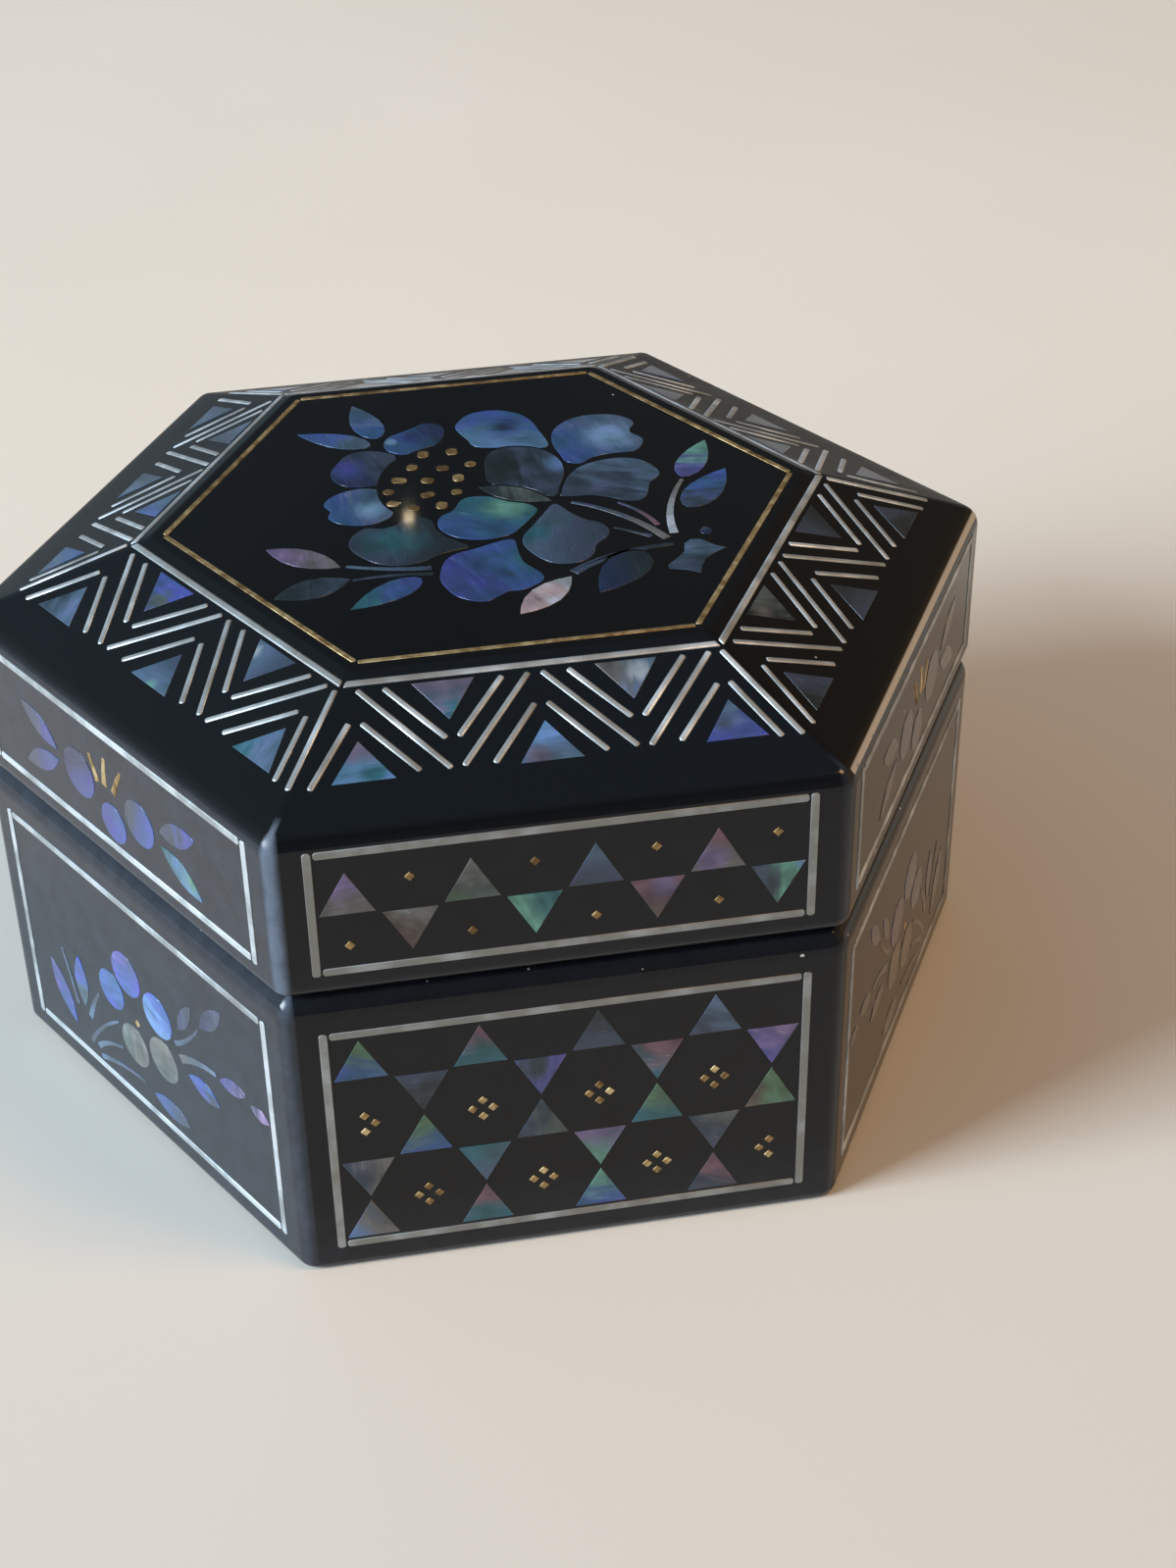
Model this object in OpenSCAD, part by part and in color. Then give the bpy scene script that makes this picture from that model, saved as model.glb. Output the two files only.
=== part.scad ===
// Six-sided lacquered box with a lift-off lid on an inner lip.
// Thin wooden boards carry a thick black lacquer, and shell, silver and gold slips are let into it.
// The origin is the centre of the underside, +Z is up and the front wall faces -Y.

/* [Box] */
// Width across two opposite flat walls
across_flats = 52; // [48:0.5:60]
// Height of the whole box
total_h = 32.9; // [32:0.1:36]
// Height of the seam, where the base ends
seam_h = 19.2; // [18:0.1:20]
// Height of the shoulder, where the lid's slopes begin
shoulder_h = 29.1; // [28.6:0.1:29.8]
// Width across flats of the flat panel on top
panel_across = 33; // [31:0.5:35]

/* [Lacquer] */
// Thickness of the outer lacquer
coat_t = 0.5; // [0.4:0.05:0.6]
// Thickness of the lacquer lining
lining_t = 0.25; // [0.15:0.05:0.3]
// Radius of the upright corners
corner_r = 1.2; // [0.8:0.1:1.5]
// Radius of the lid's shoulder
shoulder_r = 1.2; // [0.8:0.1:1.2]
// Radius of the base's upper rim
rim_r = 1.0; // [0.5:0.1:1.1]
// Radius of the lid's lower edge
hem_r = 0.6; // [0.3:0.1:0.9]
// Radius of the lower edge of the base
foot_r = 0.5; // [0.3:0.1:0.8]
// Radius of the corners of the top panel
panel_r = 0.8; // [0.4:0.1:1.2]

/* [Wood] */
// Thickness of the base's wall boards
wall_t = 2.4; // [2.1:0.1:2.8]
// Thickness of the floor board
floor_t = 2.4; // [2:0.1:3]
// Thickness of the lid's top board below the shoulder
top_board_t = 1.9; // [1.5:0.1:2.4]
// Thickness of the lip strips
lip_t = 1.0; // [0.8:0.1:1.4]
// Height of the lip above the seam
lip_rise = 3.45; // [2.5:0.05:3.8]

/* [Fits] */
// Gap between the lip and the inside of the lid
lip_gap = 0.15; // [0.1:0.05:0.25]
// Gap between the lid's lower edge and the rim it rests over
seat_gap = 0.1; // [0.05:0.05:0.2]

/* [Inlay] */
// Thickness of the silver strips
silver_t = 0.25; // [0.2:0.05:0.3]
// Thickness of the shell slips
shell_t = 0.15; // [0.1:0.05:0.2]
// Thickness of the cut gold
gold_t = 0.1; // [0.08:0.01:0.15]
// How far the silver stands out of the lacquer
silver_proud = 0.05; // [0.02:0.01:0.08]
// How far the shell stands out of the lacquer
shell_proud = 0.03; // [0.01:0.01:0.05]
// How far the gold stands out of the lacquer
gold_proud = 0.03; // [0.01:0.01:0.05]
// Gap of lacquer left between neighbouring slips
slip_gap = 0.2; // [0.15:0.01:0.25]
// How far hand-laid strips stray from the drawing
hand_stray = 0.08; // [0:0.01:0.1]

/* [Frames] */
// Width of the silver frame strips
frame_w = 0.45; // [0.35:0.05:0.6]
// Distance from the frame's middle line to the upright corners
frame_side_margin = 2.0; // [1.7:0.1:2.4]
// Distance from the base frame's top line to the seam
frame_seam_margin = 2.6; // [2.2:0.1:3]
// Distance from the base frame's bottom line to the underside
frame_foot_margin = 1.75; // [1.3:0.05:2.2]
// Distance from the lid frame's top line to the shoulder
frame_shoulder_margin = 0.85; // [0.8:0.05:1.2]
// Distance from the lid frame's bottom line to the seam
frame_hem_margin = 1.6; // [1.2:0.1:1.8]

/* [Triangles and squares] */
// Triangles side by side across a wall, pointing up and down in turn
cells_across = 8; // [6:2:10]
// Rows of triangles on a wall of the base
lattice_rows = 5; // [3:2:5]
// Lacquer left above and below the lattice, inside its frame
lattice_inset = 0.1; // [0.05:0.05:0.4]
// Corner-to-corner gap between triangles
triangle_gap = 0.3; // [0.2:0.02:0.5]
// Side of a cut gold square
gold_square = 0.4; // [0.3:0.05:0.6]
// Distance of each gold square from the centre of its four
square_spread = 0.56; // [0.5:0.02:0.65]
// How far the four squares sit below the meeting points of the triangles
square_drop = 0.28; // [0:0.02:0.4]
// Height of a gold dot above or below the band's middle line
dot_rise = 1.95; // [1.7:0.05:2.1]
// How far the lid's band and sprays sit below the middle of their frame
band_drop = 0.18; // [0:0.02:0.3]
// Lacquer left above and below the lid's band, inside its frame
band_inset = 0.66; // [0.4:0.02:0.8]

/* [Slopes] */
// Width of the zigzag strips
zigzag_w = 0.4; // [0.35:0.05:0.55]
// Distance from the middle strip of the zigzag to the inner one
inner_lane_pitch = 1.1; // [1:0.05:1.2]
// Distance from the middle strip of the zigzag to the outer one
outer_lane_pitch = 1.25; // [1.1:0.05:1.3]
// Distance from the last strip on the left to the ridge, at its foot
left_end_off = 0.95; // [0.9:0.05:1.2]
// Distance from the last strip on the right to the ridge, at its foot
right_end_off = 1.4; // [1.3:0.05:1.5]
// Distance up the slope from the shoulder to the strips' lower ends
zigzag_foot = 3.45; // [3:0.05:3.8]
// Distance up the slope from the shoulder to the silver line
silver_line_rise = 9.38; // [9.2:0.02:9.5]
// Width of the silver line
silver_line_w = 0.45; // [0.35:0.05:0.6]
// Half the width of a shell triangle on the slope
bay_half = 1.65; // [1.3:0.05:1.7]
// Height of a shell triangle on the slope
bay_h = 2.5; // [2:0.1:2.6]

/* [Top panel] */
// Distance from the gold line to the edge of the panel
gold_line_inset = 0.75; // [0.5:0.05:1.2]
// Width of the gold line
gold_line_w = 0.32; // [0.2:0.02:0.45]
// Spacing of the gold seeds along a row
seed_pitch = 1.72; // [1.5:0.05:2]
// Width of a gold seed
seed_size = 0.65; // [0.4:0.05:0.8]

/* [Hidden] */

sides = 6;
side_turn = 360 / sides;
half_turn = side_turn / 2;
// A cut runs this far past the face it opens
past = 1;

// Distances from the axis to the walls, from outside in
outer_a = across_flats / 2;
wood_a = outer_a - coat_t;
well_board_a = wood_a - wall_t;
lip_board_a = well_board_a - lip_t;
well_a = lip_board_a - lining_t;
lip_face_a = well_board_a + lining_t;
lid_face_a = lip_face_a + lip_gap;
lid_board_a = lid_face_a + lining_t;
panel_a = panel_across / 2;

// Heights, from the underside up
floor_top = coat_t + floor_t;
wall_top = seam_h - coat_t;
lip_top = seam_h + lip_rise;
lip_board_top = lip_top - lining_t;
lid_bottom = seam_h + seat_gap;
lid_wall_bottom = lid_bottom + coat_t;
panel_board_h = total_h - coat_t;
lid_wall_top = shoulder_h - top_board_t;
ceiling_h = lid_wall_top - lining_t;

// The slope rises from the shoulder to the edge of the panel
slope_angle = atan2(total_h - shoulder_h, outer_a - panel_a);
// Height at which a face set in by `inset` from the slope stands, at a distance `a` from the axis
function under_slope(a, inset) = shoulder_h + (outer_a - a) * tan(slope_angle) - inset / cos(slope_angle);

// Distance from the middle of a slope to its ridge, at a distance up the slope
function ridge_x(rise) = (outer_a - rise * cos(slope_angle)) * tan(half_turn);
corner_x = outer_a * tan(half_turn);

flower_walls = [1, 3, 5];
lattice_walls = [0, 2, 4];

// Frames on the walls
frame_half_w = corner_x - frame_side_margin;
base_frame_top = seam_h - frame_seam_margin;
base_frame_bottom = frame_foot_margin;
lid_frame_top = shoulder_h - frame_shoulder_margin;
lid_frame_bottom = lid_bottom + frame_hem_margin;
lid_band_h = (lid_frame_top + lid_frame_bottom) / 2 - band_drop;

cell_w = (2 * frame_half_w - frame_w) / cells_across;
row_h = (base_frame_top - base_frame_bottom - frame_w - 2 * lattice_inset) / lattice_rows;
band_h = (lid_frame_top - lid_frame_bottom - frame_w) / 2 - band_inset;

// Posts that round the upright corners
post_steps = 5;
post_fn = 36;
post_x = (outer_a - corner_r) / cos(half_turn);

// ---- Outlines ----

// A straight strip between two points, with its four corners eased
function strip_outline(a, b, w) =
    let (
        along = (b - a) / norm(b - a),
        across = [-along[1], along[0]] * w / 2,
        ease = along * w / 4
    )
    [
        a + across + ease, b + across - ease,
        b + across / 2, b - across / 2,
        b - across - ease, a - across + ease,
        a - across / 2, a + across / 2
    ];

// A round or oval that starts at its foot
round_steps = 20;
function round_outline(length, width) = [
    for (i = [0 : round_steps - 1])
        let (turn = 360 * i / round_steps)
        [width / 2 * sin(turn), length * (1 - cos(turn)) / 2]
];

// A smooth closed curve through points that run anticlockwise
curve_steps = 3;
// The place at a share t of the way from q to r, on a cubic that leaves q along p-r and meets r along q-s
function between(p, q, r, s, t) =
    q + (r - p) * t / 2
    + (2 * p - 5 * q + 4 * r - s) * pow(t, 2) / 2
    + (3 * q - p - 3 * r + s) * pow(t, 3) / 2;
function smooth(points) =
    let (n = len(points))
    [
        for (i = [0 : n - 1], k = [0 : curve_steps - 1])
            between(
                points[(i + n - 1) % n], points[i], points[(i + 1) % n], points[(i + 2) % n],
                k / curve_steps
            )
    ];

// The same curve moved outwards all round
function grown_curve(curve, by) =
    let (n = len(curve))
    [
        for (i = [0 : n - 1])
            let (way = curve[(i + 1) % n] - curve[(i + n - 1) % n])
            curve[i] + by * [way[1], -way[0]] / norm(way)
    ];

// A leaf on its foot: `foot` is 1 where it is pointed there, and less where it is rounded like a bud
leaf_steps = 8;
// Half the leaf's width at a share s of its length, as a share of its full width
function leaf_half(s, foot) = pow(s * (1 + foot) / foot, foot) * (1 - s) * (1 + foot) / 2;
function leaf_outline(length, width, foot) =
    let (places = [for (i = [0 : leaf_steps]) (1 - cos(180 * i / leaf_steps)) / 2])
    concat(
        [for (s = places) [-width * leaf_half(s, foot), length * s]],
        [for (i = [leaf_steps - 1 : -1 : 1]) [width * leaf_half(places[i], foot), length * places[i]]]
    );

// A stem along a bow from a to c that leans towards b, thinner at its far end
stem_steps = 6;
stem_taper = 0.5;
function bow(a, b, c, s) = a * pow(1 - s, 2) + b * 2 * s * (1 - s) + c * pow(s, 2);
function bow_normal(a, b, c, s) =
    let (way = (b - a) * (1 - s) + (c - b) * s)
    [-way[1], way[0]] / norm(way);
function stem_side(a, b, c, w, sign) = [
    for (i = [0 : stem_steps])
        let (s = i / stem_steps)
        bow(a, b, c, s) + bow_normal(a, b, c, s) * sign * w / 2 * (1 - stem_taper * s)
];
function reversed(list) = [for (i = [len(list) - 1 : -1 : 0]) list[i]];
function stem_outline(a, b, c, w) = concat(stem_side(a, b, c, w, 1), reversed(stem_side(a, b, c, w, -1)));

// A small steady wander, different for each index, between -1 and 1
wander_step = 137.5;
function wander(i) = sin(i * wander_step);

// ---- Places ----

module on_wall(side) {
    rotate([0, 0, side * side_turn])
        translate([0, -outer_a, 0])
            rotate([90, 0, 0])
                children();
}

module on_slope(side) {
    rotate([0, 0, side * side_turn])
        translate([0, -outer_a, shoulder_h])
            rotate([slope_angle, 0, 0])
                children();
}

module on_panel() {
    translate([0, 0, total_h])
        children();
}

// A slip of thickness t that stands proud of the face it is let into
module slip(t, proud) {
    translate([0, 0, proud - t])
        linear_extrude(t)
            children();
}

// ---- Wood ----

// Six-sided prism with flat walls at a distance a from the axis
module hex_prism(a, from, to) {
    translate([0, 0, from])
        cylinder(h = to - from, r = a / cos(half_turn), $fn = sides);
}

module hex_ring(outside, inside, from, to) {
    difference() {
        hex_prism(outside, from, to);
        hex_prism(inside, from - past, to + past);
    }
}

// One mitred board of a six-sided wall
module mitred_board(side, outside, inside, from, to) {
    half_out = outside * tan(half_turn);
    half_in = inside * tan(half_turn);
    rotate([0, 0, side * side_turn])
        translate([0, 0, from])
            linear_extrude(to - from)
                polygon([
                    [-half_out, -outside], [half_out, -outside],
                    [half_in, -inside], [-half_in, -inside]
                ]);
}

module base_floor_board() {
    color("burlywood")
        hex_prism(well_board_a, coat_t, floor_top);
}

module base_wall_board(side) {
    color("burlywood")
        mitred_board(side, wood_a, well_board_a, coat_t, wall_top);
}

module lip_strip(side) {
    color("tan")
        mitred_board(side, well_board_a, lip_board_a, floor_top, lip_board_top);
}

module lid_wall_board(side) {
    color("burlywood")
        mitred_board(side, wood_a, lid_board_a, lid_wall_bottom, lid_wall_top);
}

// A board planed to a bevel on its six sides, set in from the lid's faces by the lacquer
module top_board_shape() {
    difference() {
        hex_prism(wood_a, lid_wall_top, panel_board_h);
        for (side = [0 : sides - 1])
            on_slope(side)
                translate([-across_flats / 2, -past, -coat_t])
                    cube([across_flats, across_flats / 2, total_h]);
    }
}

module lid_top_board() {
    color("burlywood")
        top_board_shape();
}

// ---- Lacquer ----

// Half the section of an upright post, rounded below and above; the upper round stops at `lean`
function post_section(r, bottom, low_r, top, high_r, lean) = [
    [0, bottom],
    for (i = [0 : post_steps])
        let (turn = 90 * i / post_steps)
        [r - low_r + low_r * sin(turn), bottom + low_r - low_r * cos(turn)],
    for (i = [0 : post_steps])
        let (turn = lean * i / post_steps)
        [r - high_r + high_r * cos(turn), top + high_r * sin(turn)],
    [0, top + high_r * sin(lean)]
];

module corner_posts(section) {
    for (corner = [0 : sides - 1])
        rotate([0, 0, corner * side_turn])
            translate([post_x, 0, 0])
                rotate_extrude($fn = post_fn)
                    polygon(section);
}

module base_block() {
    hull()
        corner_posts(post_section(corner_r, 0, foot_r, seam_h - rim_r, rim_r, 90));
}

// The shoulder's round lies inside both the wall and the slope
module lid_block() {
    post_face_a = outer_a - min(shoulder_r, corner_r);
    round_r = min(shoulder_r, corner_r);
    hull() {
        corner_posts(
            post_section(
                corner_r, lid_bottom, hem_r,
                under_slope(post_face_a, round_r), round_r, 90 - slope_angle
            )
        );
        for (corner = [0 : sides - 1])
            rotate([0, 0, corner * side_turn])
                translate([(panel_a - panel_r) / cos(half_turn), 0, total_h - past])
                    cylinder(h = past, r = panel_r, $fn = post_fn);
    }
}

module base_lacquer() {
    color([0.05, 0.05, 0.06])
        difference() {
            base_block();
            hex_prism(wood_a, -past, wall_top);
            hex_prism(lip_face_a, wall_top - past, seam_h + past);
            base_frame_slips();
            base_lattice_slips();
            base_square_slips();
            base_round_slips();
            base_leaves();
            base_stems();
            base_hearts();
        }
}

module base_underside_lacquer() {
    color([0.06, 0.05, 0.05])
        hex_prism(wood_a, 0, coat_t);
}

module base_lining_lacquer() {
    color([0.25, 0.12, 0.08]) {
        hex_prism(lip_board_a, floor_top, floor_top + lining_t);
        hex_ring(lip_board_a, well_a, floor_top + lining_t, lip_board_top);
        hex_ring(lip_face_a, well_a, lip_board_top, lip_top);
        hex_ring(lip_face_a, well_board_a, wall_top, lip_board_top);
    }
}

module lid_lacquer() {
    color([0.05, 0.05, 0.06])
        difference() {
            lid_block();
            top_board_shape();
            hex_prism(wood_a, lid_wall_bottom, lid_wall_top);
            hex_prism(lid_face_a, lid_bottom - past, lid_wall_bottom + past);
            lid_frame_slips();
            lid_band_slips();
            lid_dot_slips();
            lid_round_slips();
            lid_leaves();
            lid_stamens();
            slope_strips();
            slope_triangles();
            silver_line();
            gold_line();
            flower_petals();
            flower_leaves();
            flower_stems();
            flower_seeds();
        }
}

module lid_lining_lacquer() {
    color([0.25, 0.12, 0.08]) {
        hex_ring(lid_board_a, lid_face_a, lid_wall_bottom, ceiling_h);
        hex_prism(lid_board_a, ceiling_h, lid_wall_top);
    }
}

// ---- Frames ----

// Four strips round a wall panel: the uprights run past the ends of the level ones
module frame(bottom, top) {
    reach = frame_w / 2;
    inner = frame_half_w - reach - slip_gap / 2;
    for (x = [-frame_half_w, frame_half_w])
        polygon(strip_outline([x, bottom - reach], [x, top + reach], frame_w));
    for (z = [bottom, top])
        polygon(strip_outline([-inner, z], [inner, z], frame_w));
}

module base_frame_slips() {
    for (side = [0 : sides - 1])
        on_wall(side)
            slip(silver_t, silver_proud)
                frame(base_frame_bottom, base_frame_top);
}

module lid_frame_slips() {
    for (side = [0 : sides - 1])
        on_wall(side)
            slip(silver_t, silver_proud)
                frame(lid_frame_bottom, lid_frame_top);
}

// ---- Triangles, squares and dots on the walls ----

function cell_x(i) = (i - (cells_across - 1) / 2) * cell_w;

// A triangle on a base line, pointing up (1) or down (-1)
module triangle(x, base_z, h, sign) {
    half = (cell_w - triangle_gap) / 2;
    lift = sign * triangle_gap / 4;
    tip = sign * (h - triangle_gap / 2);
    polygon([[x - half, base_z + lift], [x + half, base_z + lift], [x, base_z + tip]]);
}

// Rows alternate up and down, and each pair of rows that meet point to point is shifted by one cell
function row_points_up(row) = row % 2 == 0;
function row_shift(row) = floor(row / 2) % 2;
function row_floor(row) = base_frame_bottom + frame_w / 2 + lattice_inset + row * row_h;

module lattice() {
    for (row = [0 : lattice_rows - 1])
        for (i = [row_shift(row) : 2 : cells_across - 1])
            if (row_points_up(row))
                triangle(cell_x(i), row_floor(row), row_h, 1);
            else
                triangle(cell_x(i), row_floor(row) + row_h, row_h, -1);
}

module base_lattice_slips() {
    for (side = lattice_walls)
        on_wall(side)
            slip(shell_t, shell_proud)
                lattice();
}

// A cut square standing on its corner
module gold_square_at(x, z) {
    translate([x, z])
        rotate(45)
            square(gold_square, center = true);
}

// Four squares in the middle of each hexagon; at the frame the outermost one is left out
module hexagon_squares(i, z) {
    for (turn = [0 : 90 : 270]) {
        outermost = (i == 0 && turn == 180) || (i == cells_across - 1 && turn == 0);
        if (!outermost)
            gold_square_at(cell_x(i) + square_spread * cos(turn), z + square_spread * sin(turn));
    }
}

module base_square_slips() {
    for (side = lattice_walls)
        on_wall(side)
            slip(gold_t, gold_proud)
                for (row = [1 : 2 : lattice_rows - 1])
                    for (i = [1 - row_shift(row) : 2 : cells_across - 1])
                        hexagon_squares(i, row_floor(row) - square_drop);
}

module lid_band_slips() {
    for (side = lattice_walls)
        on_wall(side)
            slip(shell_t, shell_proud)
                for (i = [0 : cells_across - 1])
                    triangle(cell_x(i), lid_band_h, band_h, i % 2 == 0 ? 1 : -1);
}

module lid_dot_slips() {
    for (side = lattice_walls)
        on_wall(side)
            slip(gold_t, gold_proud)
                for (i = [0 : cells_across - 1])
                    gold_square_at(
                        cell_x(i) + hand_stray * wander(i),
                        lid_band_h + (i % 2 == 0 ? -1 : 1) * dot_rise
                    );
}

// ---- Sprays on the walls ----
// Each spray is drawn for a frame of this many units, from its middle to each side and below it,
// then sized to its frame.
// A round is [x, z, size], a leaf [x, z, turn, length, width] from its foot,
// a stem [x, z, lean x, lean z, end x, end z, width].

drawing_half_w = 13;
lid_drawing_low = 3.285;
base_drawing_half_h = 7.45;
base_drawing_h = (base_frame_top + base_frame_bottom) / 2;
lid_spray_size = min(
    frame_half_w / drawing_half_w,
    (lid_band_h - frame_w / 2 - lid_frame_bottom) / lid_drawing_low
);
base_spray_size = min(
    frame_half_w / drawing_half_w,
    (base_frame_top - base_drawing_h) / base_drawing_half_h
);

base_rounds = [[-1.5, 2.1, 3.0], [1.6, 0.9, 3.0], [-3.5, -0.2, 2.7], [-1.5, -3.2, 2.9], [1.7, -2.3, 3.0]];
base_leaf_list = [
    [-7.2, -3.7, 0, 3.8, 1.5], [-8.6, -5.9, 30, 4.4, 1.6], [6.3, 3.0, -44, 3.6, 1.2],
    [3.8, 1.3, -33, 3.2, 1.0], [7.8, 0.2, -78, 2.8, 1.1], [4.4, -1.6, -98, 3.2, 1.4],
    [0.0, -5.9, -92, 3.9, 1.4], [10.8, 0.3, -96, 1.9, 0.9]
];
base_stem_list = [
    [-8.0, -4.0, -8.5, -2.0, -9.1, -0.4, 0.45], [-6.7, -4.3, -6.0, -2.6, -5.1, -1.5, 0.5],
    [-7.0, -6.3, -5.4, -3.9, -3.2, -2.5, 0.36], [-6.2, -6.2, -5.0, -5.0, -3.1, -4.4, 0.4],
    [-6.0, -6.9, -4.0, -5.9, -0.8, -5.6, 0.4], [3.3, 0.0, 4.7, 0.8, 6.1, 2.7, 0.36],
    [3.7, -0.9, 5.4, 0.2, 7.5, 0.3, 0.6]
];
base_heart_list = [[-0.9, -1.2]];
lid_rounds = [[-3.4, -0.1, 3.1], [2.65, -0.4, 2.9], [-0.2, -1.85, 2.5]];
lid_leaf_list = [
    [-5.6, 0.3, 65, 4.0, 1.4], [-5.6, -0.4, 115, 4.2, 1.4],
    [4.7, 0.2, -70, 3.8, 1.5], [4.7, -0.7, -115, 4.1, 1.4]
];
lid_stamen_list = [
    [-1.4, 0.3, -1.7, 1.1, -2.0, 1.9, 0.5], [-0.7, 0.4, -0.6, 1.4, -0.4, 2.3, 0.5],
    [0.2, 0.3, 0.6, 1.2, 1.2, 2.1, 0.5]
];

// A slip drawn at another size, with its thickness kept
module drawn_slip(size, t, proud) {
    scale(size)
        slip(t / size, proud / size)
            children();
}

// Places a spray drawing on the flower walls, turned over on the first one
module sprays(middle_h, size, t, proud) {
    for (side = flower_walls)
        on_wall(side)
            translate([0, middle_h, 0])
                mirror([side == flower_walls[0] ? 1 : 0, 0, 0])
                    drawn_slip(size, t, proud)
                        children();
}

module rounds(list) {
    for (r = list)
        translate([r[0], r[1] - r[2] / 2])
            polygon(round_outline(r[2], r[2]));
}

module leaves(list, foot = 1) {
    for (l = list)
        translate([l[0], l[1]])
            rotate(l[2])
                polygon(leaf_outline(l[3], l[4], foot));
}

module stems(list) {
    for (s = list)
        polygon(stem_outline([s[0], s[1]], [s[2], s[3]], [s[4], s[5]], s[6]));
}

module base_round_slips() {
    sprays(base_drawing_h, base_spray_size, shell_t, shell_proud)
        rounds(base_rounds);
}

module base_leaves() {
    sprays(base_drawing_h, base_spray_size, shell_t, shell_proud)
        leaves(base_leaf_list);
}

module base_stems() {
    sprays(base_drawing_h, base_spray_size, shell_t, shell_proud)
        stems(base_stem_list);
}

module base_hearts() {
    sprays(base_drawing_h, base_spray_size, gold_t, gold_proud)
        for (h = base_heart_list)
            gold_square_at(h[0], h[1]);
}

module lid_round_slips() {
    sprays(lid_band_h, lid_spray_size, shell_t, shell_proud)
        rounds(lid_rounds);
}

module lid_leaves() {
    sprays(lid_band_h, lid_spray_size, shell_t, shell_proud)
        leaves(lid_leaf_list);
}

module lid_stamens() {
    sprays(lid_band_h, lid_spray_size, gold_t, gold_proud)
        stems(lid_stamen_list);
}

// ---- Slopes ----
// The zigzag has three strips side by side: an inner lane, a middle one and an outer one.
// It turns at the silver line over the middle of the slope and near its two ridges.

zigzag_head = silver_line_rise - silver_line_w / 2 - slip_gap;
ridge_room = 0.35;
bay_w = (ridge_x(silver_line_rise) - ridge_room) / 2;
zigzag_way = [bay_w, zigzag_foot - silver_line_rise - zigzag_w];
zigzag_along = zigzag_way / norm(zigzag_way);
zigzag_across = [-zigzag_along[1], zigzag_along[0]];
lane_offset = [-outer_lane_pitch, 0, inner_lane_pitch];
// Half of a strip's width along the slope's foot, with its share of the gap at a turn
turn_clear = (zigzag_w + slip_gap) / 2;

// The point of a lane at a given rise, on a leg that falls from x = 0
function lane_at_rise(lane, rise) =
    let (start = [0, silver_line_rise] + zigzag_across * lane_offset[lane])
    start + zigzag_along * (rise - start[1]) / zigzag_along[1];
// The rise of a lane at a given x
function lane_rise(lane, x) =
    let (start = [0, silver_line_rise] + zigzag_across * lane_offset[lane])
    start[1] + (x - start[0]) * zigzag_along[1] / zigzag_along[0];

// Where the outer lanes meet over a shell triangle, and where the inner lanes meet under one
outer_head = lane_rise(0, turn_clear);
inner_foot = lane_rise(2, bay_w - turn_clear);

// One falling leg of three strips, from an upper turn at x = 0
module zigzag_leg(seed) {
    heads = [outer_head, zigzag_head, zigzag_head];
    feet = [zigzag_foot, zigzag_foot, inner_foot];
    for (lane = [0 : 2]) {
        stray = hand_stray * wander(seed + lane);
        polygon(strip_outline(
            lane_at_rise(lane, heads[lane]) - [0, abs(stray)],
            lane_at_rise(lane, feet[lane]) + [0, abs(stray)],
            zigzag_w
        ));
    }
}

// Strips that close the last bay beside each ridge, and one along the ridge on the right
end_foot = zigzag_foot - zigzag_w;
function beside_ridge(rise, off) = [ridge_x(rise) - off, rise];
module ridge_strips() {
    ridge_off = (zigzag_w + slip_gap) / 2;
    polygon(strip_outline(
        beside_ridge(zigzag_head, ridge_off),
        beside_ridge(end_foot, ridge_off),
        zigzag_w
    ));
    for (end = [[-1, left_end_off], [1, right_end_off]])
        polygon(strip_outline(
            [end[0] * (2 * bay_w + turn_clear), outer_head],
            [end[0] * (ridge_x(end_foot) - end[1]), end_foot],
            zigzag_w
        ));
}

module slope_pattern_strips(side) {
    for (turn = [-1 : 1])
        translate([turn * 2 * bay_w, 0]) {
            if (turn < 1)
                zigzag_leg(sides * side + turn);
            if (turn > -1)
                mirror([1, 0])
                    zigzag_leg(sides * side - turn);
        }
    ridge_strips();
}

module slope_strips() {
    for (side = [0 : sides - 1])
        on_slope(side)
            slip(silver_t, silver_proud)
                slope_pattern_strips(side);
}

module slope_triangles() {
    for (side = [0 : sides - 1])
        on_slope(side)
            slip(shell_t, shell_proud) {
                for (x = [-bay_w, bay_w])
                    polygon([[x - bay_half, zigzag_head], [x + bay_half, zigzag_head], [x, zigzag_head - bay_h]]);
                for (x = [-2 * bay_w, 0, 2 * bay_w])
                    polygon([
                        [x - bay_half, zigzag_foot - slip_gap],
                        [x + bay_half, zigzag_foot - slip_gap],
                        [x, zigzag_foot - slip_gap + bay_h]
                    ]);
            }
}

module silver_line() {
    for (side = [0 : sides - 1])
        on_slope(side)
            slip(silver_t, silver_proud) {
                half = silver_line_w / 2;
                low = ridge_x(silver_line_rise - half) - slip_gap / 2;
                high = ridge_x(silver_line_rise + half) - slip_gap / 2;
                polygon([
                    [-low, silver_line_rise - half], [low, silver_line_rise - half],
                    [high, silver_line_rise + half], [-high, silver_line_rise + half]
                ]);
            }
}

// ---- Top panel ----

gold_line_a = panel_a - gold_line_inset;

module gold_line() {
    half_length = gold_line_a * tan(half_turn) - slip_gap / 2;
    on_panel()
        slip(gold_t, gold_proud)
            for (side = [0 : sides - 1])
                rotate(side * side_turn)
                    polygon(strip_outline([-half_length, -gold_line_a], [half_length, -gold_line_a], gold_line_w));
}

// The flower is drawn on a panel whose gold line stands this many units from its middle
flower_drawing_a = 15.75;
flower_size = gold_line_a / flower_drawing_a;

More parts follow.
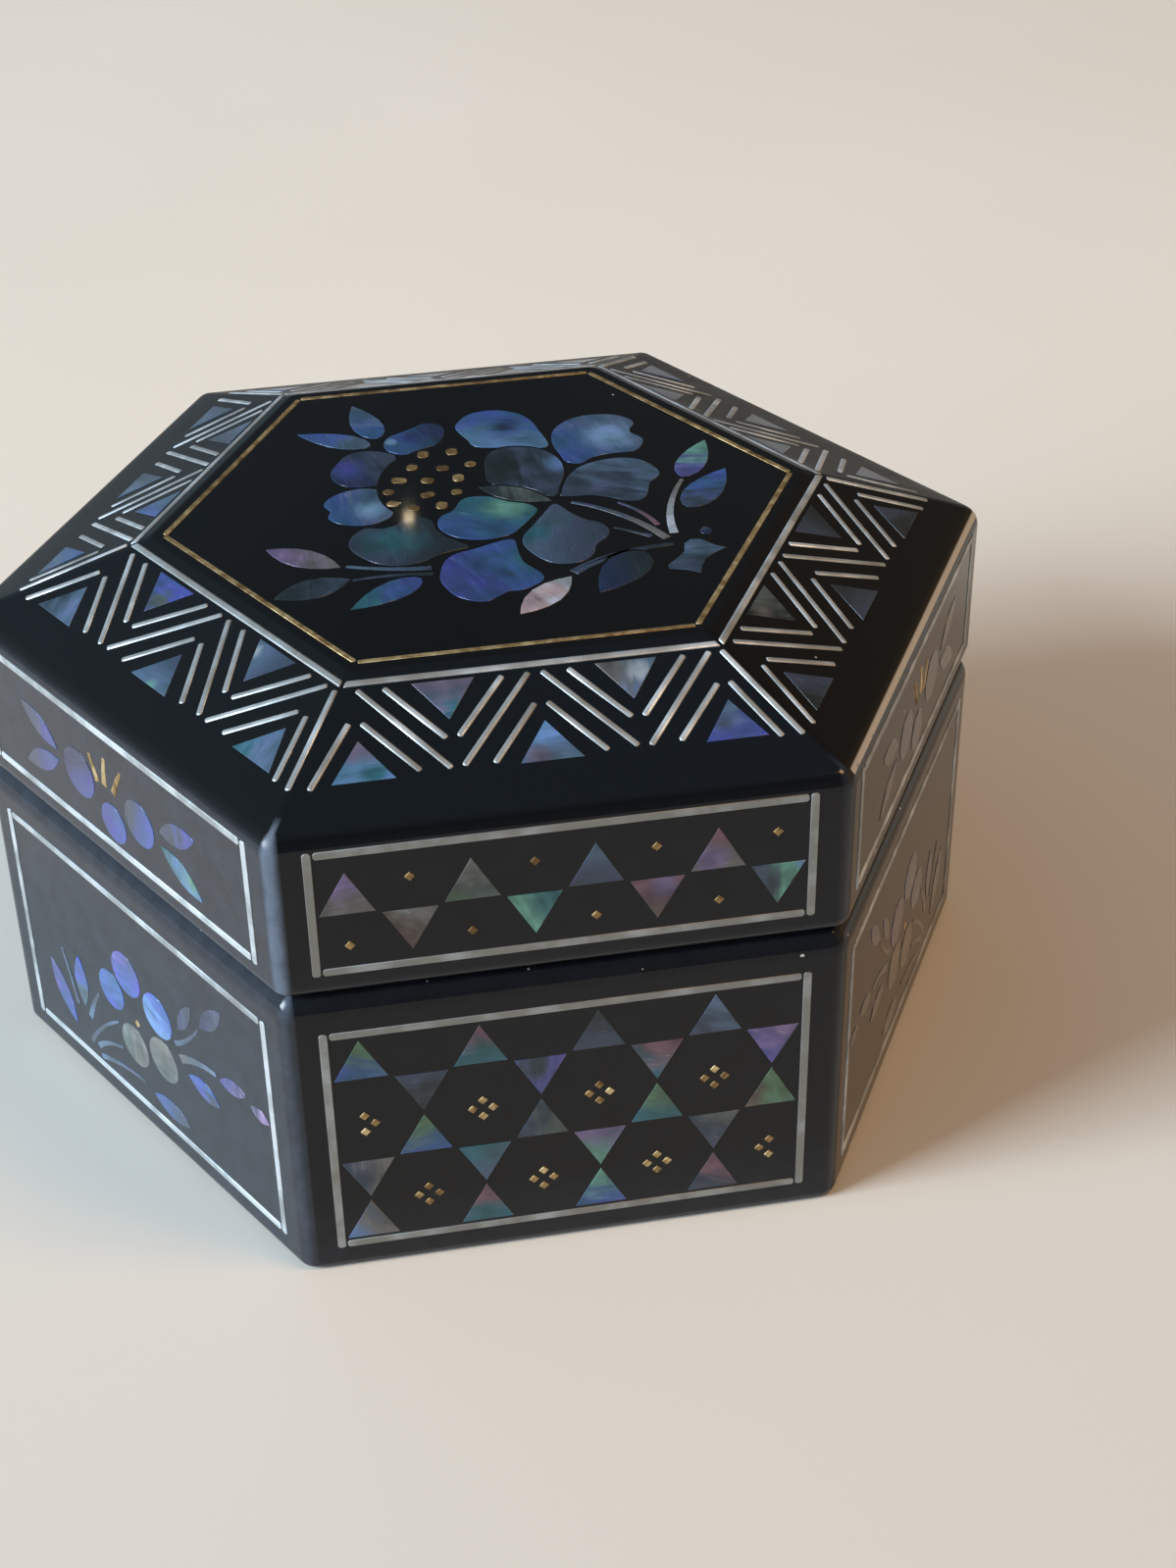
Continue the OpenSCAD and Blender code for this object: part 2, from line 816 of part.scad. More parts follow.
// Each petal is drawn by points on its edge, the front ones first
petals = [
    [
        [2.95, -1.4], [2.6, -0.7], [1.7, -0.1], [0.5, 0.7], [-0.5, 0.9], [-1.2, 0.6], [-1.8, -0.5],
        [-2.6, -1.1], [-2.9, -2.0], [-2.7, -2.9], [-2.0, -3.7], [-0.9, -4.2], [0.2, -4.2], [1.1, -3.9],
        [1.8, -3.1], [2.5, -2.2]
    ],
    [
        [4.15, 0.0], [4.7, 1.2], [5.2, 2.6], [5.3, 4.0], [4.9, 5.3], [4.0, 6.2], [2.7, 6.6], [1.5, 6.3],
        [0.9, 5.2], [0.75, 3.9], [0.7, 2.6], [1.5, 1.6], [2.7, 0.8]
    ],
    [
        [4.0, -0.9], [3.1, -2.1], [2.3, -3.3], [1.65, -4.3], [1.5, -5.3], [1.9, -6.5], [2.6, -7.5], [3.6, -7.9],
        [4.6, -7.7], [5.2, -7.0], [5.5, -6.1], [6.2, -5.4], [6.5, -4.6], [6.2, -3.7], [5.4, -3.1], [4.7, -2.1]
    ],
    [
        [4.4, 0.2], [5.1, -0.2], [6.3, -0.3], [7.3, -0.8], [8.0, -1.3], [8.8, -1.5], [9.4, -1.0], [9.7, -0.1],
        [9.9, 0.5], [10.4, 1.0], [10.7, 1.6], [10.5, 2.5], [9.9, 3.4], [8.8, 3.9], [7.5, 3.8], [6.3, 3.3],
        [5.4, 2.3], [4.8, 1.2]
    ],
    [
        [5.6, 4.1], [6.4, 3.7], [7.2, 4.3], [8.5, 4.6], [9.8, 4.6], [10.4, 5.3], [10.6, 6.1], [10.1, 6.9],
        [10.1, 7.5], [10.5, 8.3], [9.9, 9.3], [8.6, 9.8], [7.2, 9.7], [6.1, 9.0], [5.4, 7.9], [5.2, 6.4],
        [5.4, 5.1]
    ],
    [
        [4.9, 6.3], [4.9, 7.3], [4.7, 8.4], [4.5, 9.6], [4.0, 10.7], [3.0, 11.5], [1.9, 11.7], [0.8, 11.4],
        [0.1, 10.6], [-0.2, 9.8], [0.0, 8.9], [0.3, 8.1], [0.5, 7.3], [1.1, 6.9], [2.2, 6.7], [3.3, 6.6],
        [4.2, 6.2]
    ],
    [
        [0.7, -4.5], [-0.3, -4.8], [-1.3, -5.2], [-2.3, -5.5], [-3.0, -6.1], [-3.4, -7.1], [-3.6, -8.2],
        [-3.4, -9.2], [-3.0, -10.1], [-2.2, -10.8], [-1.4, -11.0], [-0.7, -10.6], [-0.1, -10.2], [0.6, -10.2],
        [1.3, -9.9], [1.9, -9.4], [2.0, -8.8], [1.6, -8.0], [1.2, -7.2], [1.1, -6.3], [1.1, -5.4], [1.1, -4.7]
    ],
    [
        [-7.0, -1.6], [-7.8, -2.4], [-8.1, -3.5], [-7.7, -4.6], [-6.9, -5.6], [-6.0, -6.1], [-5.0, -6.2],
        [-4.0, -5.9], [-3.2, -5.4], [-2.2, -5.1], [-1.5, -4.9], [-1.9, -4.3], [-2.7, -3.4], [-3.0, -2.3],
        [-3.2, -1.4], [-3.7, -0.9], [-4.7, -1.0], [-5.3, -1.6], [-6.1, -1.8]
    ],
    [
        [-5.5, 2.7], [-6.6, 3.2], [-7.7, 3.0], [-8.6, 2.4], [-9.0, 1.6], [-8.7, 0.8], [-8.9, 0.1], [-8.5, -0.6],
        [-7.6, -1.1], [-6.6, -1.2], [-5.7, -0.8], [-5.2, -0.2], [-5.1, 1.2]
    ],
    [
        [-4.2, 6.7], [-4.8, 7.5], [-5.9, 7.9], [-7.0, 7.6], [-7.7, 6.6], [-8.2, 5.5], [-8.1, 4.4], [-7.4, 3.6],
        [-6.4, 3.4], [-5.4, 3.6], [-4.8, 5.0]
    ],
    [
        [-0.9, 9.7], [-1.2, 10.5], [-2.0, 10.8], [-2.8, 10.3], [-3.5, 9.9], [-4.3, 9.4], [-4.7, 8.6],
        [-4.6, 7.7], [-4.0, 7.1], [-3.0, 7.0], [-2.0, 7.5], [-1.2, 8.5]
    ]
];

// The black eye of the flower, left bare for the seeds
eye = [
    [-3.6, -0.8], [-2.5, -0.7], [-1.7, 0.1], [-1.0, 1.1], [0.0, 2.2], [0.5, 3.6], [0.6, 5.1], [0.4, 6.6],
    [-0.4, 7.5], [-1.6, 7.8], [-2.9, 7.3], [-3.9, 6.7], [-4.7, 5.9], [-5.3, 4.8], [-5.7, 3.5], [-5.8, 2.1],
    [-5.6, 0.9], [-5.1, -0.1], [-4.4, -0.7]
];

// The slip that lies over the two front petals
front_leaf = [3.9, -0.5, 57, 4.6, 1.6];

flower_leaf_list = [
    [-8.8, -5.7, 54, 4.8, 1.9], [-8.4, -7.1, 107, 4.5, 2.1], [3.5, -9.3, 135, 4.8, 1.9]
];
flower_bud_list = [
    [-5.0, 9.4, 12, 4.8, 1.9], [-5.5, 8.5, 60, 4.8, 1.8], [-4.6, -7.8, 122, 4.9, 1.9],
    [7.9, -7.4, 141, 5.1, 2.6], [11.9, 0.8, -28, 4.9, 1.8], [11.4, -2.9, -37, 5.3, 2.2],
    [11.8, -6.2, 0, 0.9, 0.7]
];
bud_foot = 0.6;
flower_stem_list = [
    [-3.9, -6.8, -6.0, -6.7, -8.5, -5.7, 0.45], [-3.9, -7.5, -6.2, -7.0, -8.3, -7.3, 0.34],
    [10.0, -5.7, 10.0, -2.6, 11.8, 0.5, 0.5], [9.3, -4.6, 8.9, -2.8, 7.6, -1.5, 0.32],
    [9.5, -6.2, 7.9, -2.6, 5.0, -0.9, 0.5], [8.7, -5.8, 7.7, -4.9, 6.8, -4.4, 0.3],
    [3.7, -8.9, 6.0, -7.0, 9.7, -6.9, 0.65]
];

// A small five-pointed leaf, cut with straight edges
ivy_leaf = [
    [12.5, -7.9], [11.9, -7.5], [11.3, -6.7], [10.7, -6.6], [10.3, -7.0], [10.1, -7.9], [9.6, -8.5],
    [8.9, -9.2], [8.9, -9.6], [9.8, -9.9], [10.5, -10.4], [10.7, -9.7], [11.1, -8.9], [11.7, -8.4]
];

// A petal less what lies in front of it, with a line of lacquer between
module cut_petal(i) {
    difference() {
        polygon(smooth(petals[i]));
        polygon(smooth(eye));
        leaves([grown_leaf(front_leaf)]);
        for (j = [0 : 1 : i - 1])
            polygon(grown_curve(smooth(petals[j]), slip_gap));
    }
}

module whole_flower(margin) {
    for (p = petals)
        polygon(grown_curve(smooth(p), margin));
}

function grown_leaf(l) = [
    l[0] + slip_gap * sin(l[2]), l[1] - slip_gap * cos(l[2]), l[2], l[3] + 2 * slip_gap, l[4] + 2 * slip_gap
];
function grown_leaves(list) = [for (l = list) grown_leaf(l)];

module on_flower(t, proud) {
    on_panel()
        drawn_slip(flower_size, t, proud)
            children();
}

module flower_petals() {
    on_flower(shell_t, shell_proud)
        for (i = [0 : len(petals) - 1])
            cut_petal(i);
}

module flower_leaves() {
    on_flower(shell_t, shell_proud) {
        leaves([front_leaf]);
        difference() {
            union() {
                leaves(flower_leaf_list);
                leaves(flower_bud_list, bud_foot);
            }
            whole_flower(slip_gap);
        }
        polygon(ivy_leaf);
    }
}

module flower_stems() {
    on_flower(shell_t, shell_proud)
        difference() {
            stems(flower_stem_list);
            whole_flower(slip_gap);
            leaves(grown_leaves(flower_leaf_list));
            leaves(grown_leaves(flower_bud_list), bud_foot);
        }
}

// Each seed is [x, y, turn, length]: its place from the middle of the eye, counted in spacings,
// and its length, counted in widths
seeds = [
    [0.0, 1.75, 80, 1.35], [1.0, 1.75, 90, 1.25], [-0.5, 0.85, 70, 1.1], [0.53, 0.6, 0, 1.15],
    [1.5, 0.7, 45, 1.0], [-1.05, 0.0, -20, 1.4], [-0.1, -0.2, -30, 1.2], [0.95, -0.22, 85, 1.3],
    [-1.5, -0.75, -45, 1.0], [-0.23, -1.2, 20, 1.25], [0.75, -1.2, 0, 1.0], [-1.45, -1.6, -30, 1.1],
    [-0.8, -2.05, 65, 1.0], [0.13, -2.05, 80, 1.25]
];
seed_middle = [-2.57, 3.77];
seed_edge = 0.1;
module flower_seeds() {
    on_flower(gold_t, gold_proud)
        intersection() {
            polygon(grown_curve(smooth(eye), -seed_edge));
            for (s = seeds)
                translate(seed_middle + seed_pitch * [s[0], s[1]])
                    rotate(s[2])
                        polygon(strip_outline([-s[3] / 2, 0] * seed_size, [s[3] / 2, 0] * seed_size, seed_size));
        }
}

// ---- Coloured nodes for the slips ----

module base_frame_strips() {
    color("silver") base_frame_slips();
}
module base_lattice_triangles() {
    color("steelblue") base_lattice_slips();
}
module base_gold_squares() {
    color("gold") base_square_slips();
}
module base_blossom_rounds() {
    color("cornflowerblue") base_round_slips();
}
module base_leaf_slips() {
    color("slateblue") base_leaves();
}
module base_stem_slips() {
    color("lightblue") base_stems();
}
module base_gold_hearts() {
    color("gold") base_hearts();
}
module lid_frame_strips() {
    color("silver") lid_frame_slips();
}
module lid_band_triangles() {
    color("mediumpurple") lid_band_slips();
}
module lid_gold_dots() {
    color("gold") lid_dot_slips();
}
module lid_blossom_rounds() {
    color("cornflowerblue") lid_round_slips();
}
module lid_leaf_slips() {
    color("slateblue") lid_leaves();
}
module lid_gold_stamens() {
    color("gold") lid_stamens();
}
module slope_silver_strips() {
    color("silver") slope_strips();
}
module slope_shell_triangles() {
    color("steelblue") slope_triangles();
}
module top_silver_line() {
    color("silver") silver_line();
}
module top_gold_line() {
    color("gold") gold_line();
}
module top_flower_petals() {
    color("royalblue") flower_petals();
}
module top_leaf_slips() {
    color("slateblue") flower_leaves();
}
module top_stem_slips() {
    color("lightblue") flower_stems();
}
module top_gold_seeds() {
    color("gold") flower_seeds();
}

base_floor_board();
base_wall_board(0);  // base_wall_board_front
base_wall_board(1);  // base_wall_board_front_right
base_wall_board(2);  // base_wall_board_back_right
base_wall_board(3);  // base_wall_board_back
base_wall_board(4);  // base_wall_board_back_left
base_wall_board(5);  // base_wall_board_front_left
lip_strip(0);  // lip_strip_front
lip_strip(1);  // lip_strip_front_right
lip_strip(2);  // lip_strip_back_right
lip_strip(3);  // lip_strip_back
lip_strip(4);  // lip_strip_back_left
lip_strip(5);  // lip_strip_front_left
base_lacquer();
base_underside_lacquer();
base_lining_lacquer();
base_frame_strips();
base_lattice_triangles();
base_gold_squares();
base_blossom_rounds();
base_leaf_slips();
base_stem_slips();
base_gold_hearts();
lid_top_board();
lid_wall_board(0);  // lid_wall_board_front
lid_wall_board(1);  // lid_wall_board_front_right
lid_wall_board(2);  // lid_wall_board_back_right
lid_wall_board(3);  // lid_wall_board_back
lid_wall_board(4);  // lid_wall_board_back_left
lid_wall_board(5);  // lid_wall_board_front_left
lid_lacquer();
lid_lining_lacquer();
lid_frame_strips();
lid_band_triangles();
lid_gold_dots();
lid_blossom_rounds();
lid_leaf_slips();
lid_gold_stamens();
slope_silver_strips();
slope_shell_triangles();
top_silver_line();
top_gold_line();
top_flower_petals();
top_leaf_slips();
top_stem_slips();
top_gold_seeds();
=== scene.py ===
import bmesh
import bpy
import numpy as np
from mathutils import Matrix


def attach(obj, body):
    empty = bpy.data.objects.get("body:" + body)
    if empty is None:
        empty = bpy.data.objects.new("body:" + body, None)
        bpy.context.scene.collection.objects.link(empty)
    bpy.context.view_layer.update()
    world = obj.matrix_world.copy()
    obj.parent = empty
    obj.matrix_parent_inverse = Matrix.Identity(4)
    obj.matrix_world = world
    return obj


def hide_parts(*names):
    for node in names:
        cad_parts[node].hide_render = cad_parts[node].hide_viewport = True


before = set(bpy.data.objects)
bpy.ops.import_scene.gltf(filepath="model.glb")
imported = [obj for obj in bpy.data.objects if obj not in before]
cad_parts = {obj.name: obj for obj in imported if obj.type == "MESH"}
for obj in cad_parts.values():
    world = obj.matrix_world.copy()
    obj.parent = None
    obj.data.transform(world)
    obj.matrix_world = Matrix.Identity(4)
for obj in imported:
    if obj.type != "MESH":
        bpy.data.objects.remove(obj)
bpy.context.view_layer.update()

# ---- Camera ----
# A close upright view from a little to the left of the front wall, looking down on the lid.
# It stands about as near as a small camera can focus. Its turn is in radians.
mm = 0.001
camera_place = (-17.14 * mm, -129.57 * mm, 103.02 * mm)
camera_turn = (0.9683, 0.0138, -0.1851)
lens_length, film_height, nearest_seen = 58.9, 36, 0.005

camera = bpy.data.objects.new("camera", bpy.data.cameras.new("camera"))
bpy.context.scene.collection.objects.link(camera)
camera.location = camera_place
camera.rotation_euler = camera_turn
camera.data.sensor_fit = "VERTICAL"
camera.data.sensor_height = film_height
camera.data.lens = lens_length
camera.data.clip_start = nearest_seen
bpy.context.scene.camera = camera
bpy.context.scene.view_settings.view_transform = "Standard"


# ---- Room ----
# Cool daylight from a window on the left, and warm lamplight from the right.
# Between them the walls are dim, the ceiling takes some daylight, and a tiny warm lamp burns behind the box.
box_middle = (0, 0, 0.02)
# Each lamp's place and width in metres, its power in watts, and its colour
lamps = {
    "window": ((-1.15, -0.26, 0.63), 0.56, 31.0, (0.76, 0.88, 1.0)),
    "warm_lamp": ((0.47, -0.26, 0.90), 0.30, 4.0, (1.0, 0.56, 0.22)),
    "spark": ((0.125, 1.308, 0.745), 0.006, 0.0016, (1.0, 0.80, 0.50)),
}
# Colours of the room's walls from the far left, 0, to the far right, 1
room_walls = [
    (0.0, (0.50, 0.62, 0.72)), (0.29, (0.21, 0.33, 0.42)), (0.55, (0.075, 0.098, 0.120)),
    (0.80, (0.16, 0.135, 0.11)), (1.0, (0.50, 0.33, 0.18)),
]
# The ceiling's colour comes in from this share of straight up
ceiling, ceiling_edge = (0.22, 0.34, 0.46), 0.72


def feed(tree, sockets, inputs):
    """Sets each named socket to a value, or wires it to another node's socket."""
    for key, value in inputs.items():
        if isinstance(value, bpy.types.NodeSocket):
            tree.links.new(value, sockets[key])
        else:
            sockets[key].default_value = value


def add(tree, kind, inputs=None, **settings):
    """Adds a shader node. Settings are its own properties; inputs are values, or sockets wired to it."""
    node = tree.nodes.new("ShaderNode" + kind)
    for name, value in settings.items():
        setattr(node, name, value)
    feed(tree, node.inputs, inputs or {})
    return node


def ramp(tree, factor, stops):
    """A colour, or a number, along a factor: stops are (place, colour or number) pairs."""
    node = add(tree, "ValToRGB", {0: factor})
    while len(node.color_ramp.elements) < len(stops):
        node.color_ramp.elements.new(0.5)
    for element, (place, tone) in zip(node.color_ramp.elements, stops):
        element.position = place
        element.color = (*tone, 1) if isinstance(tone, tuple) else (tone, tone, tone, 1)
    return node.outputs[0]


def maths(tree, how, first, second=0.0, third=0.0):
    """A sum, product or comparison of two or three numbers."""
    return add(tree, "Math", {0: first, 1: second, 2: third}, operation=how).outputs[0]


def rise(tree, value, low, high, kind="LINEAR"):
    """0 where a value is at low or past it, 1 where it is at high, and evenly or smoothly between."""
    ends = {"Value": value, "From Min": low, "From Max": high}
    return add(tree, "MapRange", ends, interpolation_type=kind).outputs[0]


def mixed(tree, factor, first, second):
    """Two colours, or two numbers, blended by a factor."""
    return add(tree, "Mix", {0: factor, 6: first, 7: second}, data_type="RGBA").outputs[2]


room = bpy.data.worlds.new("room")
bpy.context.scene.world = room
room.use_nodes = True
tree = room.node_tree
tree.nodes.clear()
looking = add(tree, "TexCoord").outputs["Generated"]
sideways, _, upward = add(tree, "SeparateXYZ", {0: looking}).outputs
walls = ramp(tree, maths(tree, "MULTIPLY_ADD", sideways, 0.5, 0.5), room_walls)
lit = mixed(tree, rise(tree, upward, ceiling_edge, 1.0), walls, (*ceiling, 1))
background = add(tree, "Background", {"Color": lit, "Strength": 1.0})
add(tree, "OutputWorld", {"Surface": background.outputs[0]})


def lamp(name, place, size, power, colour):
    """A square lamp that faces the middle of the box."""
    light = bpy.data.lights.new(name, "AREA")
    light.shape = "SQUARE"
    light.size = size
    light.energy = power
    light.color = colour
    holder = bpy.data.objects.new(name, light)
    bpy.context.scene.collection.objects.link(holder)
    holder.location = place
    facing = np.array(box_middle) - np.array(place)
    holder.rotation_euler = (
        np.arccos(-facing[2] / np.linalg.norm(facing)), 0, np.arctan2(facing[1], facing[0]) - np.pi / 2
    )


for name, settings in lamps.items():
    lamp(name, *settings)


# ---- Table ----
# A plain pale table top, a hair below the underside so the two don't share a plane.
# Its top is painted darker in front of the box, a painted shade, and its far end is painted dark, a painted shade
# where it would lie out of the light.
table_half = 1.6
table_z = -0.03 * mm
table_pale, table_warm, table_far = (0.74, 0.68, 0.60), (0.70, 0.64, 0.55), (0.16, 0.15, 0.14)
table_front_shade = (0.58, 0.54, 0.48)
# How far behind the middle of the box the painted front shade and the painted dark of the far end begin and are
# full, in metres
front_shade_span, dark_span = (0.08, -0.08), (0.20, 0.50)


def paint(name):
    """A new material with a Principled shader; returns the material, its tree and the shader's sockets."""
    material = bpy.data.materials.new(name)
    material.use_nodes = True
    return material, material.node_tree, material.node_tree.nodes["Principled BSDF"].inputs


def noise(tree, place, scale, detail, **more):
    """Cloudy noise about 0.5. more sets its Roughness or Distortion."""
    return add(tree, "TexNoise", {"Vector": place, "Scale": scale, "Detail": detail, **more}).outputs["Fac"]


table_mesh = bpy.data.meshes.new("table")
table_mesh.from_pydata(
    [(x * table_half, y * table_half, table_z) for x, y in ((-1, -1), (1, -1), (1, 1), (-1, 1))],
    [], [(0, 1, 2, 3)],
)
table = bpy.data.objects.new("table", table_mesh)
bpy.context.scene.collection.objects.link(table)
material, tree, surface = paint("pale_table")
place = add(tree, "TexCoord").outputs["Object"]
behind = add(tree, "SeparateXYZ", {0: place}).outputs[1]
clouded = ramp(tree, noise(tree, place, 9.0, 3.0), [(0.3, table_warm), (0.7, table_pale)])
top = mixed(tree, rise(tree, behind, *front_shade_span), clouded, (*table_front_shade, 1))
top = mixed(tree, rise(tree, behind, *dark_span), top, (*table_far, 1))
feed(tree, surface, {"Base Color": top, "Roughness": 0.6, "Specular IOR Level": 0.2})
table_mesh.materials.append(material)


# ---- Wooden core ----
# Thin softwood boards: a floor board, six mitred walls, six lip strips and the lid's boards.
# They are glued up and wholly covered by the lacquer, so only a joint or an edge ever shows.
side_names = ("front", "front_right", "back_right", "back", "back_left", "front_left")
side_turn, floor_turn = np.pi / 3, 0.4
board_pale, board_dark = (0.56, 0.39, 0.22), (0.42, 0.26, 0.13)
lip_pale, lip_dark = (0.62, 0.45, 0.27), (0.50, 0.33, 0.18)


def effect(name, takes, gives):
    """A shader node group. takes and gives map each socket's name to its kind.
    Returns the group and the sockets at its two ends."""
    group = bpy.data.node_groups.new(name, "ShaderNodeTree")
    for in_out, sockets in (("INPUT", takes), ("OUTPUT", gives)):
        for label, kind in sockets.items():
            group.interface.new_socket(name=label, in_out=in_out, socket_type="NodeSocket" + kind)
    return group, group.nodes.new("NodeGroupInput").outputs, group.nodes.new("NodeGroupOutput").inputs


# Grain: long rings that swell and pinch, and short pores, both drawn out along the board
grain, takes, gives = effect("wood_grain", {"Along": "Vector"}, {"Tone": "Float", "Height": "Float"})
stretched = add(grain, "Mapping", {"Vector": takes["Along"], "Scale": (60, 700, 700)}).outputs[0]
drawn = add(grain, "Mapping", {"Vector": takes["Along"], "Scale": (300, 6000, 6000)}).outputs[0]
feed(grain, gives, {
    "Tone": noise(grain, stretched, 1.0, 5.0, Distortion=0.6), "Height": noise(grain, drawn, 1.0, 2.0),
})


def relief(tree, height, depth):
    """The bump of a surface that a height raises, by up to a depth in mm."""
    return add(tree, "Bump", {"Height": height, "Distance": depth * mm}).outputs[0]


def wood(name, turn, pale, dark):
    """Planed softwood whose grain runs level along a board that is turned about the upright axis."""
    material, tree, surface = paint(name)
    place = add(tree, "TexCoord").outputs["Object"]
    along = add(tree, "Mapping", {"Vector": place, "Rotation": (0, 0, -turn)}).outputs[0]
    board = add(tree, "Group", {"Along": along}, node_tree=grain).outputs
    feed(tree, surface, {
        "Base Color": ramp(tree, board["Tone"], [(0.35, pale), (0.6, dark)]), "Roughness": 0.62,
        "Normal": relief(tree, board["Height"], 0.02),
    })
    return material


def finish_node(node, material):
    """Gives a CAD node that stays as it is its material."""
    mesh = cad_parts[node].data
    mesh.materials.clear()
    mesh.materials.append(material)


for k, side in enumerate(side_names):
    wall_wood = wood("wall_board_" + side, k * side_turn, board_pale, board_dark)
    finish_node("base_wall_board_" + side, wall_wood)
    finish_node("lid_wall_board_" + side, wall_wood)
    finish_node("lip_strip_" + side, wood("lip_wood_" + side, k * side_turn, lip_pale, lip_dark))
flat_board = wood("flat_board", floor_turn, board_pale, board_dark)
finish_node("base_floor_board", flat_board)
finish_node("lid_top_board", flat_board)


# ---- Base lacquer ----
# Many thin coats of black lacquer over the wood, ground flat and polished to a gloss.
# It is a ring round the walls: rounded at the foot, the rim and the six upright corners,
# where handling has left a thin grey bloom, painted bluish and strongest at the front-left corner as a painted
# sheen, and dust sits along the seam.
# In mm: how far the faces stand from the axis, the height of the seam, and the radii of the rounds
outer, wood_face, rim_flat, lip_face = 26.0, 25.5, 24.2, 23.35
seam = 19.2
corner_r, sharp_r = 1.2, 0.05
foot_r, rim_r = 0.5, 1.5
# A ring this far past each round keeps the wall between them flat
clear = 0.15
# Where the columns stand: along half of a flat, from its middle, and along the turn of a corner
flat_stops = np.array([-1.0, -0.985, -0.8, -0.5, -0.2, 0.2, 0.5, 0.8, 0.985, 1.0])
arc_stops = np.linspace(0, 1, 11)[1:-1]
side_columns = len(flat_stops) + len(arc_stops)
# The bloom colour is bluish, partly a painted sheen of the window's light.
black, bloom_and_sheen, speck_and_highlight = (0.0032, 0.0031, 0.0033), (0.105, 0.128, 0.168), (0.60, 0.58, 0.54)
# How much rougher full bloom is, how rough the dust specks and the painted highlight line of the shoulder are, and
# how fully their pale colour covers
bloom_rough, chip_rough, speck_and_highlight_cover = 0.30, 0.6, 0.85


def rounded_hexagon(profile):
    """Carries a profile of (distance to the flats, height, corner radius) round a hexagon.
    A flat is the outward normal times the distance plus the tangent times its half length, (a - r) tan 30.
    A corner is an arc of 60 degrees about a centre that lies (a - r) / cos 30 from the axis.
    Returns points in metres."""
    a, z, r = profile.T[:, :, None]
    half, centre = (a - r) * np.tan(side_turn / 2), (a - r) / np.cos(side_turn / 2)
    stretches = []
    for k in range(len(side_names)):
        facing = k * side_turn - np.pi / 2
        stretches.append((a * np.cos(facing) - half * flat_stops * np.sin(facing),
                          a * np.sin(facing) + half * flat_stops * np.cos(facing)))
        turn, corner = facing + arc_stops * side_turn, facing + side_turn / 2
        stretches.append((centre * np.cos(corner) + r * np.cos(turn), centre * np.sin(corner) + r * np.sin(turn)))
    x, y = (np.concatenate(part, axis=1) for part in zip(*stretches))
    return np.stack([x, y, np.broadcast_to(z, x.shape)], axis=2) * mm


def arc(centre_a, centre_z, radius, start, end, steps=8):
    """Points of a round in a profile: the centre plus the radius turned from the start to the end angle.
    The corner radius shrinks with the depth below the wall."""
    turn = np.radians(np.linspace(start, end, steps))
    a, z = centre_a + radius * np.cos(turn), centre_z + radius * np.sin(turn)
    return np.stack([a, z, np.maximum(corner_r - (outer - a), sharp_r)], axis=1)


def new_piece(name, points, faces):
    """A mesh object at the origin with its points in metres, smooth but for its hard edges."""
    mesh = bpy.data.meshes.new(name)
    mesh.from_pydata(points.reshape(-1, 3), [], faces)
    mesh.polygons.foreach_set("use_smooth", np.ones(len(mesh.polygons), bool))
    mesh.set_sharp_from_angle(angle=np.radians(40))
    piece = bpy.data.objects.new(name, mesh)
    bpy.context.scene.collection.objects.link(piece)
    return piece


def ring_faces(rows, columns, closed):
    """Quads between neighbouring rows of a grid whose columns run all the way round.
    Where it is closed, the last row joins the first."""
    row = np.arange(rows if closed else rows - 1)[:, None]
    column = np.arange(columns)[None, :]
    below, above = row * columns, (row + 1) % rows * columns
    after = (column + 1) % columns
    return np.stack([below + column, below + after, above + after, above + column], axis=2).reshape(-1, 4)


def set_values(mesh, name, kind, values):
    """Writes one number, or one colour, for each point of a mesh."""
    layer = mesh.attributes.new(name, kind, "POINT").data
    part = "value" if kind == "FLOAT" else "color"
    layer.foreach_set(part, np.ascontiguousarray(values, np.float32).ravel())


def ring_values(piece, name, weights):
    """Writes a number for each ring and column of a coat; points past the rings get 0."""
    values = np.zeros(len(piece.data.vertices))
    values[:weights.size] = weights.ravel()
    set_values(piece.data, name, "FLOAT", values)


def near_height(profile, height, reach):
    """How near each ring of the profile lies to a height: 1 at it, falling to 0 at the reach."""
    return np.clip(1 - np.abs(profile[:, 1] - height) / reach, 0, 1)[:, None]


# How much bloom from hands each wall has, and the corner after it, partly a painted sheen that is strongest
# towards the window on the front left, and how much dust its seam holds
hand_bloom_and_sheen = (0.04, 0.08, 0.15, 0.15, 0.20, 0.26)
corner_bloom_and_sheen = (0.20, 0.30, 0.40, 0.40, 0.50, 1.40)
seam_dust = (1.0, 5.0, 2.0, 2.0, 2.0, 0.5)
# How much bloom the foot and the rim have, how far each reaches in mm, and the corners' share below the rim
foot_bloom, rim_bloom = 0.3, 0.12
foot_reach, rim_reach = 1.2, 1.4
corner_low = 0.3


def by_side(values):
    """One value for each side, repeated for its columns."""
    return np.repeat(np.array(values, float), side_columns)[None, :]


# Each column's share of the upright corner: 0 on the flats, rising to 1 in the middle of the round
corner_share = np.tile(np.concatenate([np.zeros(len(flat_stops)), np.sin(np.pi * arc_stops)]), 6)[None, :]

# Polish: fine rubbing marks in one direction, and a slow waviness of the hand-ground surface
polish, takes, gives = effect("polish", {"Place": "Vector"}, {"Rubbing": "Float", "Height": "Float"})
rubbed = add(polish, "Mapping", {
    "Vector": takes["Place"], "Rotation": (0.3, 0.2, 0.7), "Scale": (150, 3500, 3500),
}).outputs[0]
marks = noise(polish, rubbed, 1.0, 3.0, Roughness=0.7)
smears = noise(polish, takes["Place"], 260.0, 4.0, Distortion=1.2)
wave = noise(polish, takes["Place"], 90.0, 1.0)
feed(polish, gives, {
    "Rubbing": mixed(polish, 0.5, marks, smears), "Height": maths(polish, "MULTIPLY_ADD", marks, 0.01, wave),
})

